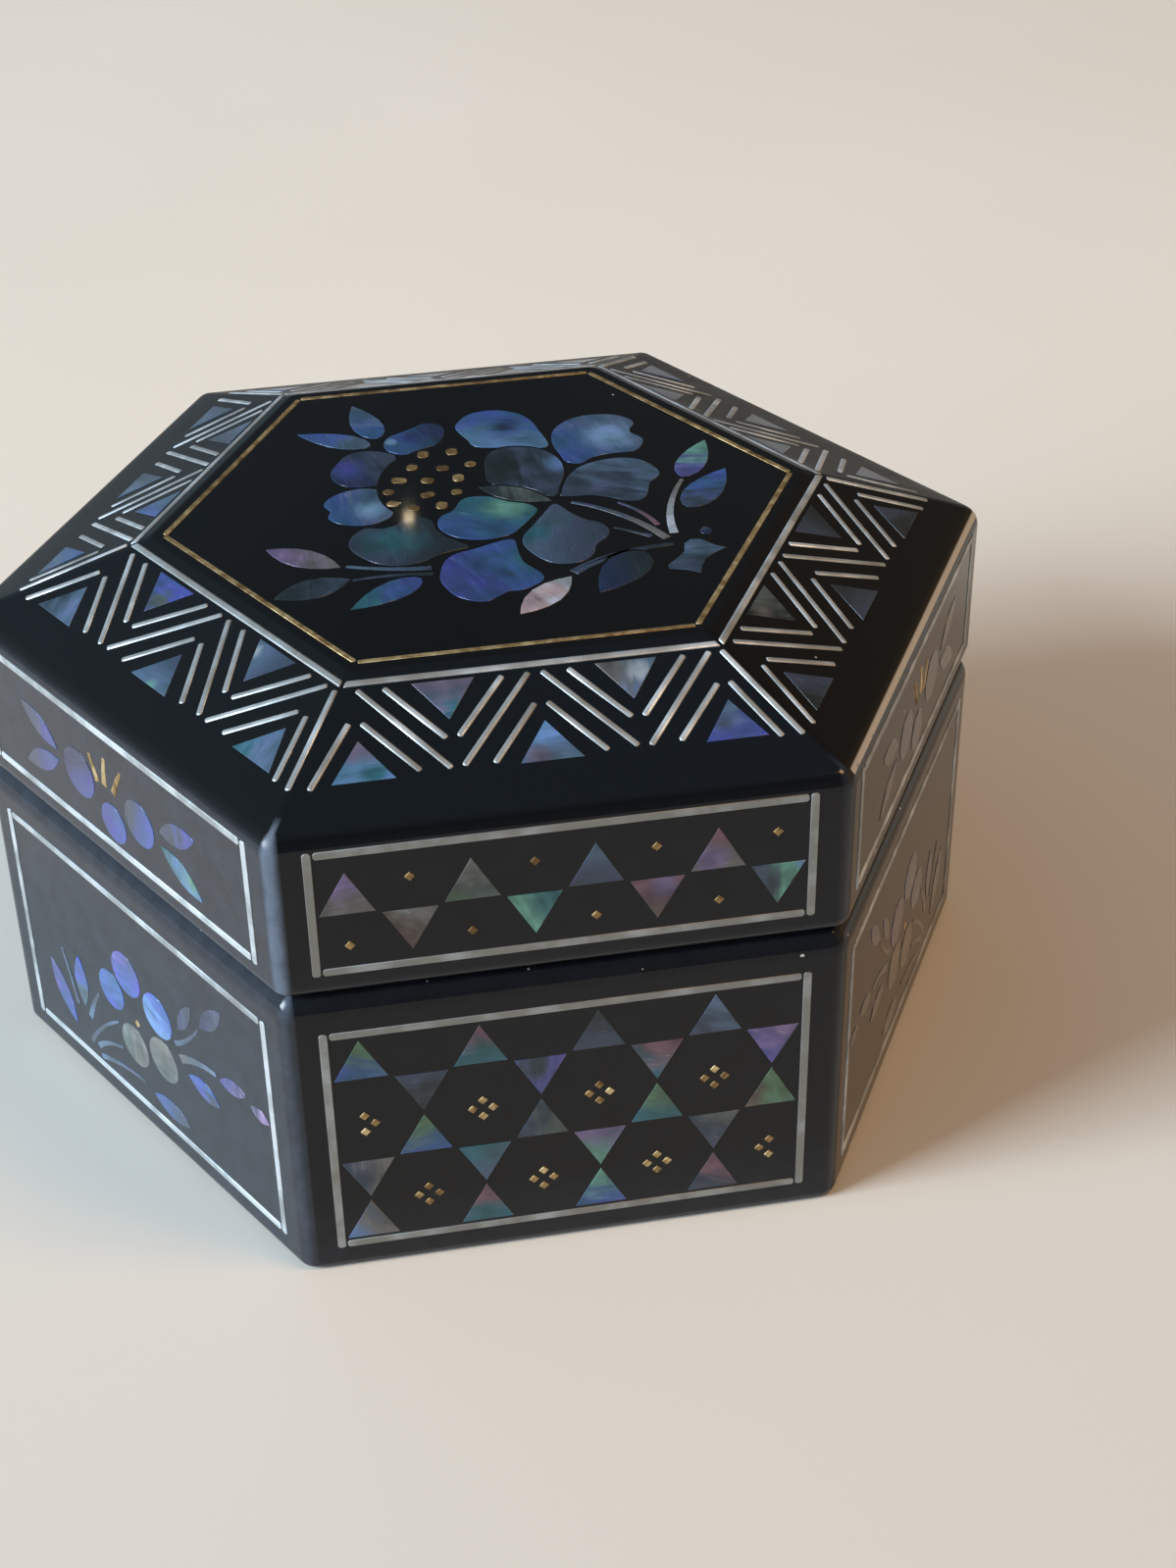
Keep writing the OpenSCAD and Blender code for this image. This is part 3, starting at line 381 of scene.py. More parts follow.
# Dust: small pale specks in cells, more of them and bigger ones as the amount grows
dust, takes, gives = effect("dust", {"Place": "Vector", "Amount": "Float"}, {"Specks": "Float"})
cells = add(dust, "TexVoronoi", {"Vector": takes["Place"], "Scale": 1500.0}).outputs
draw = add(dust, "SeparateColor", {0: cells["Color"]}).outputs
chosen = maths(dust, "LESS_THAN", draw[0], takes["Amount"])
smallest = maths(dust, "MULTIPLY_ADD", takes["Amount"], 0.25, 0.05)
reach = maths(dust, "MULTIPLY_ADD", draw[1], 0.13, smallest)
speck = maths(dust, "LESS_THAN", cells["Distance"], reach)
feed(dust, gives, {"Specks": maths(dust, "MULTIPLY", chosen, speck)})


def carried(tree, name):
    """The number that the mesh carries at each point under a name."""
    return add(tree, "Attribute", attribute_name=name).outputs["Fac"]


def lacquer(name, gloss, satin_gloss, dusting):
    """Polished black lacquer. The edge attribute brings the grey bloom of handling, painted bluish so that it is
    also a painted sheen, the dusty one more dust, the satin one a duller polish, and the fourth, on one shoulder,
    a rubbed line with nicks painted pale as a painted highlight."""
    material, tree, surface = paint(name)
    place = add(tree, "TexCoord").outputs["Object"]
    ground = add(tree, "Group", {"Place": place}, node_tree=polish).outputs
    edge, dusty, satin, rubbed_highlight = (carried(tree, label) for label in ("edge", "dusty", "satin", "rubbed_highlight"))

    amount = maths(tree, "MULTIPLY_ADD", dusty, 0.07, dusting)
    specks = add(tree, "Group", {"Place": place, "Amount": amount}, node_tree=dust).outputs["Specks"]
    # The rubbed line on the shoulder is painted pale, a painted highlight, broken into nicks.
    highlight_line = ramp(tree, rubbed_highlight, [(0.25, 0.0), (0.55, 1.0)])
    broken = ramp(tree, noise(tree, place, 520.0, 5.0), [(0.30, 0.0), (0.40, 1.0)])
    marked = maths(tree, "MAXIMUM", specks, maths(tree, "MULTIPLY", highlight_line, broken))

    patchy = ramp(tree, noise(tree, place, 700.0, 5.0, Roughness=0.65), [(0.3, 0.55), (0.7, 1.0)])
    # Bloom of handling, partly a painted sheen, greys the black where the edge attribute says.
    wear_and_sheen = maths(tree, "MULTIPLY", edge, patchy)
    colour = mixed(tree, wear_and_sheen, (*black, 1), (*bloom_and_sheen, 1))

    shiny = ramp(tree, ground["Rubbing"], [(0.35, gloss), (0.7, gloss * 1.4)])
    dull = ramp(tree, ground["Rubbing"], [(0.35, satin_gloss), (0.7, satin_gloss * 1.25)])
    sheen = maths(tree, "MULTIPLY_ADD", wear_and_sheen, bloom_rough, mixed(tree, satin, shiny, dull))
    feed(tree, surface, {
        "Base Color": mixed(tree, maths(tree, "MULTIPLY", marked, speck_and_highlight_cover), colour, (*speck_and_highlight, 1)),
        "Roughness": maths(tree, "MAXIMUM", sheen, maths(tree, "MULTIPLY", marked, chip_rough)),
        "Normal": relief(tree, ground["Height"], 0.006),
        "IOR": 1.5, "Specular IOR Level": 0.28,
    })
    return material


black_lacquer = lacquer("black_lacquer", 0.03, 0.34, 0.003)

base_profile = np.concatenate([
    arc(outer - foot_r, foot_r, foot_r, -90, 0),
    [[outer, z, corner_r] for z in (foot_r + clear, 5, 10, 14, seam - rim_r - clear)],
    arc(outer - rim_r, seam - rim_r, rim_r, 0, 90),
    [[rim_flat, seam, sharp_r], [lip_face, seam, sharp_r], [lip_face, seam - foot_r, sharp_r],
     [wood_face, seam - foot_r, sharp_r]],
])
base_points = rounded_hexagon(base_profile)
base_coat = new_piece("base_coat", base_points, ring_faces(*base_points.shape[:2], closed=True)[:, ::-1])
base_foot, base_rim = near_height(base_profile, 0, foot_reach), near_height(base_profile, seam, rim_reach)
corner_wear_and_sheen = np.maximum(base_rim, corner_low) * corner_share * by_side(corner_bloom_and_sheen)
handled_and_sheen = np.maximum(by_side(hand_bloom_and_sheen), corner_wear_and_sheen)
ring_values(base_coat, "edge", np.maximum(handled_and_sheen, np.maximum(base_foot * foot_bloom, base_rim * rim_bloom)))
ring_values(base_coat, "dusty", base_rim * by_side(seam_dust))
base_coat.data.materials.append(black_lacquer)
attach(base_coat, "base")
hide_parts("base_lacquer")

finish_node("base_underside_lacquer", lacquer("underside_lacquer", 0.16, 0.2, 0.01))


# ---- Linings ----
# Brown-black lacquer in the well, over the lip and inside the lid.
# Gold powder was sprinkled on while it was wet, and more lacquer laid over it.
lining_ground, powder_dull, powder_bright = (0.030, 0.014, 0.008), (0.30, 0.15, 0.05), (0.62, 0.40, 0.14)
# The share of the cells that stay empty, and a flake's radius in cells
left_bare, flake_r = 0.72, 0.30


def lining(name):
    """Lacquer with flakes of gold sunk in it."""
    material, tree, surface = paint(name)
    place = add(tree, "TexCoord").outputs["Object"]
    cells = add(tree, "TexVoronoi", {"Vector": place, "Scale": 2600.0}).outputs
    draw = add(tree, "SeparateColor", {0: cells["Color"]}).outputs
    flakes = maths(tree, "MULTIPLY", maths(tree, "GREATER_THAN", draw[0], left_bare),
                   maths(tree, "LESS_THAN", cells["Distance"], flake_r))
    powder = mixed(tree, draw[1], (*powder_dull, 1), (*powder_bright, 1))
    feed(tree, surface, {
        "Base Color": mixed(tree, flakes, (*lining_ground, 1), powder),
        "Metallic": maths(tree, "MULTIPLY", flakes, 0.85), "Roughness": 0.22,
        "Coat Weight": 0.6, "Coat Roughness": 0.12,
    })
    return material


finish_node("base_lining_lacquer", lining("well_lining"))
finish_node("lid_lining_lacquer", lining("lid_lining"))


# ---- Base frames ----
# Four strips of cut silver round each wall, let into the lacquer and polished down with it.
# Their upper edges are eased, so each strip shines like a flat wire.
# The clean silver is tinted a little blue, a painted reflection of the cool window.
silver_clean, silver_grey, silver_dull = (0.66, 0.71, 0.74), (0.38, 0.41, 0.42), (0.250, 0.250, 0.235)
# How tarnished the frames of each wall are, with painted shade: the front walls, turned away from the window, are
# darkest
frame_tarnish_and_shade = (2.0, 0.9, 0.4, 0.4, 0.2, 0.0)
frame_easing = 0.03
# Edges that turn more than this are eased, and the rest shaded smooth
crease = np.radians(50)


def loose_slips(node):
    """A copy of a CAD node's mesh with its triangles welded and its flat faces joined up.
    Points take the lowest number that any edge brings them until none changes, so each slip ends with its own.
    Returns the mesh, its points and the number of the slip that each point belongs to."""
    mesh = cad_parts[node].data.copy()
    mesh.name = node + "_slips"
    work = bmesh.new()
    work.from_mesh(mesh)
    bmesh.ops.remove_doubles(work, verts=work.verts, dist=0.001 * mm)
    bmesh.ops.dissolve_limit(work, angle_limit=np.radians(1), verts=work.verts, edges=work.edges)
    work.to_mesh(mesh)
    work.free()
    points = np.empty(len(mesh.vertices) * 3, np.float32)
    mesh.vertices.foreach_get("co", points)
    edges = np.empty(len(mesh.edges) * 2, np.int32)
    mesh.edges.foreach_get("vertices", edges)
    first, second = edges.reshape(-1, 2).T
    slip = np.arange(len(mesh.vertices))
    while True:
        low = np.minimum(slip[first], slip[second])
        joined = slip.copy()
        np.minimum.at(joined, first, low)
        np.minimum.at(joined, second, low)
        if (joined == slip).all():
            break
        slip = joined
    return mesh, points.reshape(-1, 3).astype(float), np.unique(slip, return_inverse=True)[1]


def let_in(name, node, mesh, body, material, easing):
    """Puts finished slips in place of the CAD node that they were copied from."""
    mesh.materials.clear()
    mesh.materials.append(material)
    piece = bpy.data.objects.new(name, mesh)
    bpy.context.scene.collection.objects.link(piece)
    ease = piece.modifiers.new("eased_edges", "BEVEL")
    ease.width = easing * mm
    ease.segments = 3
    ease.limit_method = "ANGLE"
    ease.angle_limit = crease
    mesh.polygons.foreach_set("use_smooth", np.ones(len(mesh.polygons), bool))
    mesh.set_sharp_from_angle(angle=crease)
    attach(piece, body)
    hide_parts(node)


def steady_random(count, seed):
    """The same numbers between 0 and 1 on every run."""
    return np.random.default_rng(seed).random(count)


silver, tree, surface = paint("silver")
place = add(tree, "TexCoord").outputs["Object"]
blotches = noise(tree, place, 420.0, 4.0)
tarnish_and_shade = maths(tree, "MULTIPLY_ADD", carried(tree, "strip_tone"), 0.14, blotches)
feed(tree, surface, {
    "Base Color": ramp(tree, tarnish_and_shade, [(0.50, silver_clean), (0.68, silver_grey), (0.90, silver_dull)]),
    "Roughness": ramp(tree, blotches, [(0.3, 0.42), (0.7, 0.56)]), "Metallic": 0.65,
})


def middles(points, slip):
    """The middle of each slip, and the number of the side of the box that it lies on."""
    count = slip.max() + 1
    middle = np.stack([np.bincount(slip, points[:, i], count) / np.bincount(slip) for i in range(3)], axis=1)
    return middle, np.round((np.arctan2(middle[:, 1], middle[:, 0]) + np.pi / 2) / side_turn).astype(int) % 6


def silver_strips(name, node, body, easing, tarnish_and_shade):
    """Silver strips, each a little more or less tarnished than the next, and darker by side as the side values
    say; on the frames those values include painted shade.
    """
    mesh, points, slip = loose_slips(node)
    side = middles(points, slip)[1]
    own = steady_random(slip.max() + 1, len(slip)) + np.array(tarnish_and_shade, float)[side]
    set_values(mesh, "strip_tone", "FLOAT", own[slip])
    let_in(name, node, mesh, body, silver, easing)


silver_strips("base_frames", "base_frame_strips", "base", frame_easing, frame_tarnish_and_shade)


# ---- Base lattice ----
# Triangles of thin shell that meet point to point, in five rows on every other wall.
# Each is cut from another part of the shell, so each has a play of colour and growth lines of its own.
leaf_easing = 0.03
tones = {
    "glow": (0.210, 0.380, 0.620), "sky": (0.110, 0.235, 0.440), "royal": (0.045, 0.098, 0.345),
    "blue": (0.040, 0.105, 0.290), "indigo": (0.046, 0.072, 0.260), "deep": (0.014, 0.026, 0.080),
    "violet": (0.085, 0.085, 0.300), "lilac": (0.170, 0.130, 0.260), "mauve": (0.125, 0.110, 0.165),
    "teal": (0.027, 0.130, 0.170), "sea": (0.115, 0.300, 0.230), "green": (0.075, 0.150, 0.085),
    "steel": (0.075, 0.130, 0.205), "slate": (0.040, 0.060, 0.100), "dusk": (0.013, 0.024, 0.028),
    "mist": (0.400, 0.460, 0.540), "fog": (0.075, 0.100, 0.095), "grey": (0.130, 0.130, 0.125),
    "pink": (0.480, 0.370, 0.390), "rose": (0.150, 0.080, 0.110), "clay": (0.105, 0.075, 0.065),
}
# Painted light and shade on the shell of each wall: dimmer on the shaded wall to the front right, brighter on the
# lit wall to the front left
wall_light_and_shade = (1.0, 0.35, 1.0, 1.0, 1.0, 1.35)
# How far apart on the shell, in mm, two slips may be cut
grain_spread = 40


def swayed(tree, value, sway, amount):
    """A value pushed up and down by a noise about 0.5."""
    return maths(tree, "MULTIPLY_ADD", maths(tree, "SUBTRACT", sway, 0.5), amount, value)


def shell_finish(name, coat_gloss):
    """Thin shell under clear lacquer. It turns from its near tone to its far one, with a spot of a third tone,
    fine dark and light growth lines, broad satin bands and a few whitish glints."""
    material, tree, surface = paint(name)
    on_slip, on_spot, on_grain = (
        add(tree, "UVMap", uv_map=label).outputs[0] for label in ("across", "spot", "grain")
    )
    near, far, spot = (
        add(tree, "Attribute", attribute_name=label).outputs for label in ("near", "far", "spot_tone")
    )
    # Growth lines, satin bands, and a slow drift of hue and depth
    lined = add(tree, "Mapping", {"Vector": on_grain, "Scale": (0.9, 9.0, 1.0)}).outputs[0]
    lines = noise(tree, lined, 1.0, 5.0, Roughness=0.65, Distortion=0.5)
    banded = add(tree, "Mapping", {
        "Vector": on_grain, "Scale": (0.25, 1.3, 1.0), "Location": (7, 3, 0),
    }).outputs[0]
    bands = noise(tree, banded, 1.0, 1.0, Distortion=1.0)
    drift = noise(tree, on_grain, 0.55, 2.0)

    along = add(tree, "SeparateXYZ", {0: on_slip}).outputs[0]
    turned = swayed(tree, swayed(tree, along, drift, 0.9), bands, 0.9)
    turned = rise(tree, turned, 0.15, 0.85, "SMOOTHSTEP")
    colour = mixed(tree, turned, near["Color"], far["Color"])
    from_spot = add(tree, "VectorMath", {0: on_spot}, operation="LENGTH").outputs["Value"]
    in_spot = rise(tree, swayed(tree, from_spot, bands, 1.1), 1.0, 0.1, "SMOOTHSTEP")
    colour = mixed(tree, maths(tree, "MULTIPLY", in_spot, spot["Alpha"]), colour, spot["Color"])
    glint = maths(tree, "MULTIPLY", ramp(tree, lines, [(0.60, 0.0), (0.78, 1.0)]),
                  ramp(tree, drift, [(0.52, 0.0), (0.66, 0.55)]))
    colour = mixed(tree, glint, colour, (*tones["mist"], 1))

    level = maths(tree, "MULTIPLY", maths(tree, "MULTIPLY_ADD", lines, 0.6, 0.7),
                  maths(tree, "MULTIPLY_ADD", bands, 0.8, 0.6))
    level = maths(tree, "MULTIPLY", level, maths(tree, "MULTIPLY_ADD", drift, 1.9, 0.05))
    hue = maths(tree, "MULTIPLY_ADD", drift, 0.12, 0.44)
    play = add(tree, "HueSaturation", {"Hue": hue, "Saturation": 1.0, "Value": level, "Color": colour})
    feed(tree, surface, {
        "Base Color": play.outputs[0], "Normal": relief(tree, lines, 0.004),
        "Metallic": 0.2, "Roughness": 0.34, "Specular IOR Level": 0.2,
        "Coat Weight": 1.0, "Coat Roughness": coat_gloss, "Coat IOR": 1.38,
    })
    return material


polished_shell = shell_finish("polished_shell", 0.035)


def face_axes(points, slip, lean):
    """For each slip: its middle, its side of the box, and the level and rising directions of its face.
    A face leans in from upright by an angle: rising is up times its cosine plus inward times its sine.
    Where lean is None the face is the top panel, whose directions are X and Y."""
    middle, side = middles(points, slip)
    if lean is None:
        return middle, 0 * side, np.tile([1.0, 0, 0], (len(side), 1)), np.tile([0, 1.0, 0], (len(side), 1))
    across = np.stack([np.cos(side * side_turn), np.sin(side * side_turn), 0 * side], axis=1)
    inward = np.stack([-np.sin(side * side_turn), np.cos(side * side_turn), 0 * side], axis=1)
    return middle, side, across, inward * np.sin(lean) + np.array([0, 0, 1]) * np.cos(lean)


def shell_slips(name, node, body, choose, level, lean=0.0, finish=polished_shell):
    """Shell slips with their play of colour, brighter or deeper by the level. choose takes each slip's side
    and its middle on its face, in mm, and gives (near tone, far tone, the angle from one to the other),
    and for a spot also (its tone, its place from the middle, its size).
    The reach of a point is its way along that angle, and aside is its way across it."""
    mesh, points, slip = loose_slips(node)
    middle, side, across, rising = face_axes(points, slip, lean)
    count = slip.max() + 1
    flat = np.stack([(middle * across).sum(1), (middle * rising).sum(1)], axis=1) / mm
    here = np.stack([(points * across[slip]).sum(1), (points * rising[slip]).sum(1)], axis=1) / mm
    near, far, turn, spot, spot_place, spot_size = zip(
        *(c if len(c) == 6 else (*c, None, (0, 0), 1.0) for c in choose(side, flat))
    )
    angle = np.radians(turn)[slip]
    offset = here - flat[slip]
    reach = offset[:, 0] * np.cos(angle) + offset[:, 1] * np.sin(angle)
    aside = offset[:, 1] * np.cos(angle) - offset[:, 0] * np.sin(angle)
    low, high = np.full(count, np.inf), np.full(count, -np.inf)
    np.minimum.at(low, slip, reach)
    np.maximum.at(high, slip, reach)
    spot_place, spot_size = np.array(spot_place, float)[slip], np.array(spot_size, float)[slip]
    shift = steady_random(count * 2, len(slip)).reshape(-1, 2)[slip] * grain_spread
    maps = {
        "across": np.stack([(reach - low[slip]) / (high - low)[slip], aside], axis=1),
        "spot": (offset - spot_place) / spot_size[:, None],
        "grain": np.stack([aside, reach], axis=1) + shift,
    }
    corners = np.empty(len(mesh.loops), np.int32)
    mesh.loops.foreach_get("vertex_index", corners)
    while mesh.uv_layers:
        mesh.uv_layers.remove(mesh.uv_layers[0])
    for label, values in maps.items():
        mesh.uv_layers.new(name=label).data.foreach_set("uv", values[corners].astype(np.float32).ravel())
    for label, named in (("near", near), ("far", far), ("spot_tone", spot)):
        shades = np.array([(*tones.get(tone, (0, 0, 0)), float(tone is not None)) for tone in named])
        # Walls get the painted light and shade of their side.
        shades[:, :3] *= level * (np.array(wall_light_and_shade)[side][:, None] if lean == 0.0 else 1.0)
        set_values(mesh, label, "FLOAT_COLOR", shades[slip])
    let_in(name, node, mesh, body, finish, leaf_easing)


def scattered(pairs, seed):
    """Picks a pair of tones and an angle for each slip from a list, by steady random numbers."""
    def choose(side, flat):
        draw = steady_random(len(flat) * 3, seed).reshape(-1, 3)
        return [(*pairs[int(d[0] * len(pairs))], d[1] * 360) for d in draw]
    return choose


def in_rows(rows_by_side, otherwise):
    """Tones for the numbered sides row by row, from the top down and from left to right.
    The other sides have them as otherwise says."""
    def choose(side, flat):
        chosen = otherwise(side, flat)
        for number, rows in rows_by_side.items():
            mine = np.flatnonzero(side == number)
            mine = mine[np.argsort(-flat[mine, 1])]
            for row in rows:
                places, mine = mine[:len(row)], mine[len(row):]
                for entry, i in zip(row, places[np.argsort(flat[places, 0])]):
                    chosen[i] = entry
        return chosen
    return choose


cool_pairs = [("blue", "violet"), ("slate", "teal"), ("steel", "blue"), ("teal", "violet"), ("deep", "slate"),
              ("rose", "teal"), ("lilac", "sea"), ("green", "teal")]
lattice_rows = [
    [("blue", "green", 80), ("teal", "rose", 80), ("slate", "dusk", 90), ("slate", "steel", 60)],
    [("dusk", "slate", 90), ("slate", "violet", 350), ("teal", "rose", 80), ("violet", "lilac", 60)],
    [("blue", "green", 110), ("slate", "fog", 0), ("teal", "green", 70), ("clay", "green", 20)],
    [("slate", "grey", 0), ("steel", "teal", 120), ("sea", "lilac", 80), ("slate", "fog", 60)],
    [("sky", "grey", 30), ("teal", "rose", 90), ("blue", "sea", 90), ("slate", "rose", 60)],
]
shell_slips("base_lattice", "base_lattice_triangles", "base",
            in_rows({0: lattice_rows}, scattered(cool_pairs, 5)), 0.78)

# Four cut squares of gold leaf in the middle of each hexagon of the lattice
gold_dark, gold_mid, gold_bright = (0.16, 0.095, 0.038), (0.36, 0.24, 0.10), (0.66, 0.52, 0.28)
gold, tree, surface = paint("gold")
place = add(tree, "TexCoord").outputs["Object"]
crinkles = noise(tree, place, 1500.0, 4.0)
shade = maths(tree, "MULTIPLY_ADD", carried(tree, "strip_tone"), 0.3, crinkles)
feed(tree, surface, {
    "Base Color": ramp(tree, shade, [(0.42, gold_dark), (0.62, gold_mid), (0.86, gold_bright)]),
    "Normal": relief(tree, crinkles, 0.02), "Metallic": 0.75, "Roughness": 0.46,
})


def gold_slips(name, node, body, lift):
    """Cut gold leaf, each bit a little brighter or duller; lift brightens them all."""
    mesh, _, slip = loose_slips(node)
    set_values(mesh, "strip_tone", "FLOAT", steady_random(slip.max() + 1, len(slip))[slip] + lift)
    let_in(name, node, mesh, body, gold, leaf_easing)


gold_slips("base_squares", "base_gold_squares", "base", -0.1)


# ---- Base sprays ----
# A spray of shell on every other wall: five round petals, leaves and stems, and a heart of gold.
# Each slip is filed to shape and let in on its own.
def nearest(entries):
    """Gives each slip the entry whose place on the face, in mm, is nearest to its middle."""
    def choose(side, flat):
        places = np.array([e[0] for e in entries], float)
        away = np.linalg.norm(flat[:, None, :] - places[None, :, :], axis=2)
        return [entries[i][1:] for i in away.argmin(1)]
    return choose


round_tones = [
    ((-1.5, 11.3), "royal", "violet", 90), ((1.6, 10.1), "royal", "sky", 250), ((-3.5, 9.0), "royal", "blue", 100),
    ((1.7, 6.9), "fog", "grey", 90), ((-1.5, 6.0), "fog", "grey", 0),
]
base_leaf_tones = [
    ((7.5, 13.5), "deep", "slate", 0), ((4.7, 11.8), "deep", "slate", 0), ((9.1, 9.7), "violet", "lilac", 0),
    ((11.7, 9.4), "slate", "lilac", 0), ((-7.2, 7.4), "steel", "royal", 90), ((6.0, 7.4), "slate", "royal", 90),
    ((-9.7, 5.2), "royal", "violet", 90), ((1.9, 3.2), "blue", "slate", 0),
]
shell_slips("base_rounds", "base_blossom_rounds", "base", nearest(round_tones), 0.85)
shell_slips("base_leaves", "base_leaf_slips", "base", nearest(base_leaf_tones), 0.7)
base_stem_pairs = [("steel", "grey"), ("slate", "steel")]
shell_slips("base_stems", "base_stem_slips", "base", scattered(base_stem_pairs, 13), 0.8)
gold_slips("base_hearts", "base_gold_hearts", "base", 0.3)


# ---- Lid lacquer ----
# The same black lacquer over the lid: a rounded hem, straight walls, a rounded shoulder,
# six slopes that are harder to polish between their slips, and a flat panel.
# Its walls run down over the lip to a hair above the seam. One shoulder has a nicked rubbed line, painted pale as
# a highlight.
# In mm: heights, how far the panel's edge and the inner face stand from the axis, radii, and the coat's depth
lid_foot, shoulder_h, top_h = 19.3, 29.1, 32.9
panel, lid_face = 16.5, 23.5
hem_r, panel_r = 0.7, 0.8
board_gap = 0.5
# The panel's edge is eased over this width, and starts down by this much
panel_ease, panel_drop = 0.12, 0.004
slope = np.arctan2(top_h - shoulder_h, outer - panel)
# How dull each slope is, how much of a nicked line painted pale as a highlight each shoulder has, and how far from
# it that line reaches in mm
slope_satin = (0.15, 0.15, 1.0, 1.0, 0.8, 0.15)
shoulder_highlights = (0.0, 1.0, 0.0, 0.0, 0.0, 0.0)
highlight_reach = 0.26
# How much bloom the hem has, how far it reaches, and where the corners' bloom and painted sheen end on the slopes
hem_bloom, hem_reach, corner_from = 0.2, 1.2, 24.5
# Over what distance one finish gives way to the next at the panel's edge and at the shoulder, in mm
edge_fade, shoulder_fade = 0.6, 0.8


def under_slope(a, inset):
    """Height of a face set in from the slope, at a distance from the axis."""
    return shoulder_h + (outer - a) * np.tan(slope) - inset / np.cos(slope)


shoulder = arc(outer - corner_r, under_slope(outer - corner_r, corner_r), corner_r, 90 - np.degrees(slope), 0, 12)
board_flat = outer - (top_h - board_gap - shoulder_h + board_gap / np.cos(slope)) / np.tan(slope)
against_wood = [
    [lid_face, lid_foot, sharp_r], [lid_face, lid_foot + board_gap, sharp_r],
    [wood_face, lid_foot + board_gap, sharp_r], [wood_face, under_slope(wood_face, board_gap), sharp_r],
    [board_flat, top_h - board_gap, sharp_r], [3, top_h - board_gap, sharp_r],
]
lid_profile = np.concatenate([
    [[a, top_h, panel_r * a / panel] for a in (3, 7, 11, 14.5, 16, panel - panel_ease)],
    [[panel, top_h - panel_drop, panel_r],
     [panel + panel_ease * np.cos(slope), top_h - panel_ease * np.sin(slope), panel_r - 0.01]],
    [[a, under_slope(a, 0), r] for a, r in ((17.0, 0.78), (19, 0.7), (22, 0.56), (24.4, 0.48))],
    shoulder,
    [[outer, z, corner_r] for z in (shoulder[-1, 1] - clear, 25, 22, lid_foot + hem_r + clear)],
    arc(outer - hem_r, lid_foot + hem_r, hem_r, 0, -90),
    against_wood,
])
lid_points = rounded_hexagon(lid_profile)
rows, columns = lid_points.shape[:2]
# The first and last rings close on a point each, in the middle of the panel and of its underside
poles = np.array([[0, 0, top_h], [0, 0, top_h - board_gap]]) * mm
turn = np.arange(columns)
after = (turn + 1) % columns
last = (rows - 1) * columns
lid_faces = ring_faces(rows, columns, closed=False).tolist()
lid_faces += np.stack([after, turn, np.full(columns, rows * columns)], axis=1).tolist()
lid_faces += np.stack([last + turn, last + after, np.full(columns, rows * columns + 1)], axis=1).tolist()
lid_coat = new_piece("lid_coat", np.concatenate([lid_points.reshape(-1, 3), poles]), lid_faces)

outside = (np.arange(rows) < rows - len(against_wood))[:, None]
below_panel = np.clip((lid_profile[:, 0] - panel) / edge_fade, 0, 1)[:, None]
above_walls = np.clip((lid_profile[:, 1] - shoulder_h + edge_fade) / shoulder_fade, 0, 1)[:, None]
hem = near_height(lid_profile, lid_foot, hem_reach) * outside
shoulder_line = near_height(lid_profile, shoulder[len(shoulder) // 2 - 1, 1], highlight_reach)
on_walls = np.clip((shoulder_h - lid_profile[:, 1]) / edge_fade, 0, 1)[:, None] * outside
on_corners = corner_share * by_side(corner_bloom_and_sheen) * (lid_profile[:, :1] > corner_from)
lid_handled_and_sheen = np.maximum(by_side(hand_bloom_and_sheen) * on_walls, on_corners)
ring_values(lid_coat, "edge", np.maximum(lid_handled_and_sheen, hem * hem_bloom))
ring_values(lid_coat, "dusty", hem * by_side(seam_dust))
ring_values(lid_coat, "satin", below_panel * above_walls * by_side(slope_satin))
ring_values(lid_coat, "rubbed_highlight", shoulder_line * by_side(shoulder_highlights))
lid_coat.data.materials.append(black_lacquer)
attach(lid_coat, "lid")
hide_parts("lid_lacquer")


# ---- Lid walls ----
# Silver frames as on the base; every other wall has a row of shell triangles with gold dots,
# and the walls between them a spray of three round petals with gold stamens.
silver_strips("lid_frames", "lid_frame_strips", "lid", frame_easing, frame_tarnish_and_shade)

band_rows = [
    [("grey", "lilac", 100), ("fog", "grey", 110, "green", (-0.8, -0.8), 0.8), ("steel", "slate", 270),
     ("grey", "rose", 90, "lilac", (-0.4, -0.3), 1.2)],
    [("clay", "grey", 60), ("teal", "sea", 200), ("rose", "clay", 270, "lilac", (0.4, 0.5), 1.0),
     ("slate", "sea", 0, "sky", (1.4, 0.7), 0.7)],
]
shell_slips("lid_band", "lid_band_triangles", "lid", in_rows({0: band_rows}, scattered(cool_pairs, 8)), 0.78)
gold_slips("lid_dots", "lid_gold_dots", "lid", -0.5)
lid_round_pairs = [("royal", "indigo"), ("royal", "slate"), ("indigo", "deep")]
shell_slips("lid_rounds", "lid_blossom_rounds", "lid", scattered(lid_round_pairs, 21), 0.6)
lid_leaf_tones = [
    ((-7.4, 25.5), "indigo", "slate", 180), ((6.5, 25.2), "slate", "indigo", 0),
    ((-7.5, 23.1), "indigo", "slate", 180), ((6.5, 22.8), "teal", "sky", 0, "sea", (1.0, 0), 1.2),
]
shell_slips("lid_leaves", "lid_leaf_slips", "lid", nearest(lid_leaf_tones), 0.62)
gold_slips("lid_stamens", "lid_gold_stamens", "lid", 0.3)


# ---- Slopes ----
# A zigzag of three silver strips on each slope and one strip at each ridge,
# with a shell triangle in every bay.
zigzag_easing = 0.13
slope_tarnish = (1.1, 0.3, 0.3, 0.3, 0.6, 1.0)
silver_strips("slope_strips", "slope_silver_strips", "lid", zigzag_easing, slope_tarnish)
satin_shell = shell_finish("satin_shell", 0.30)
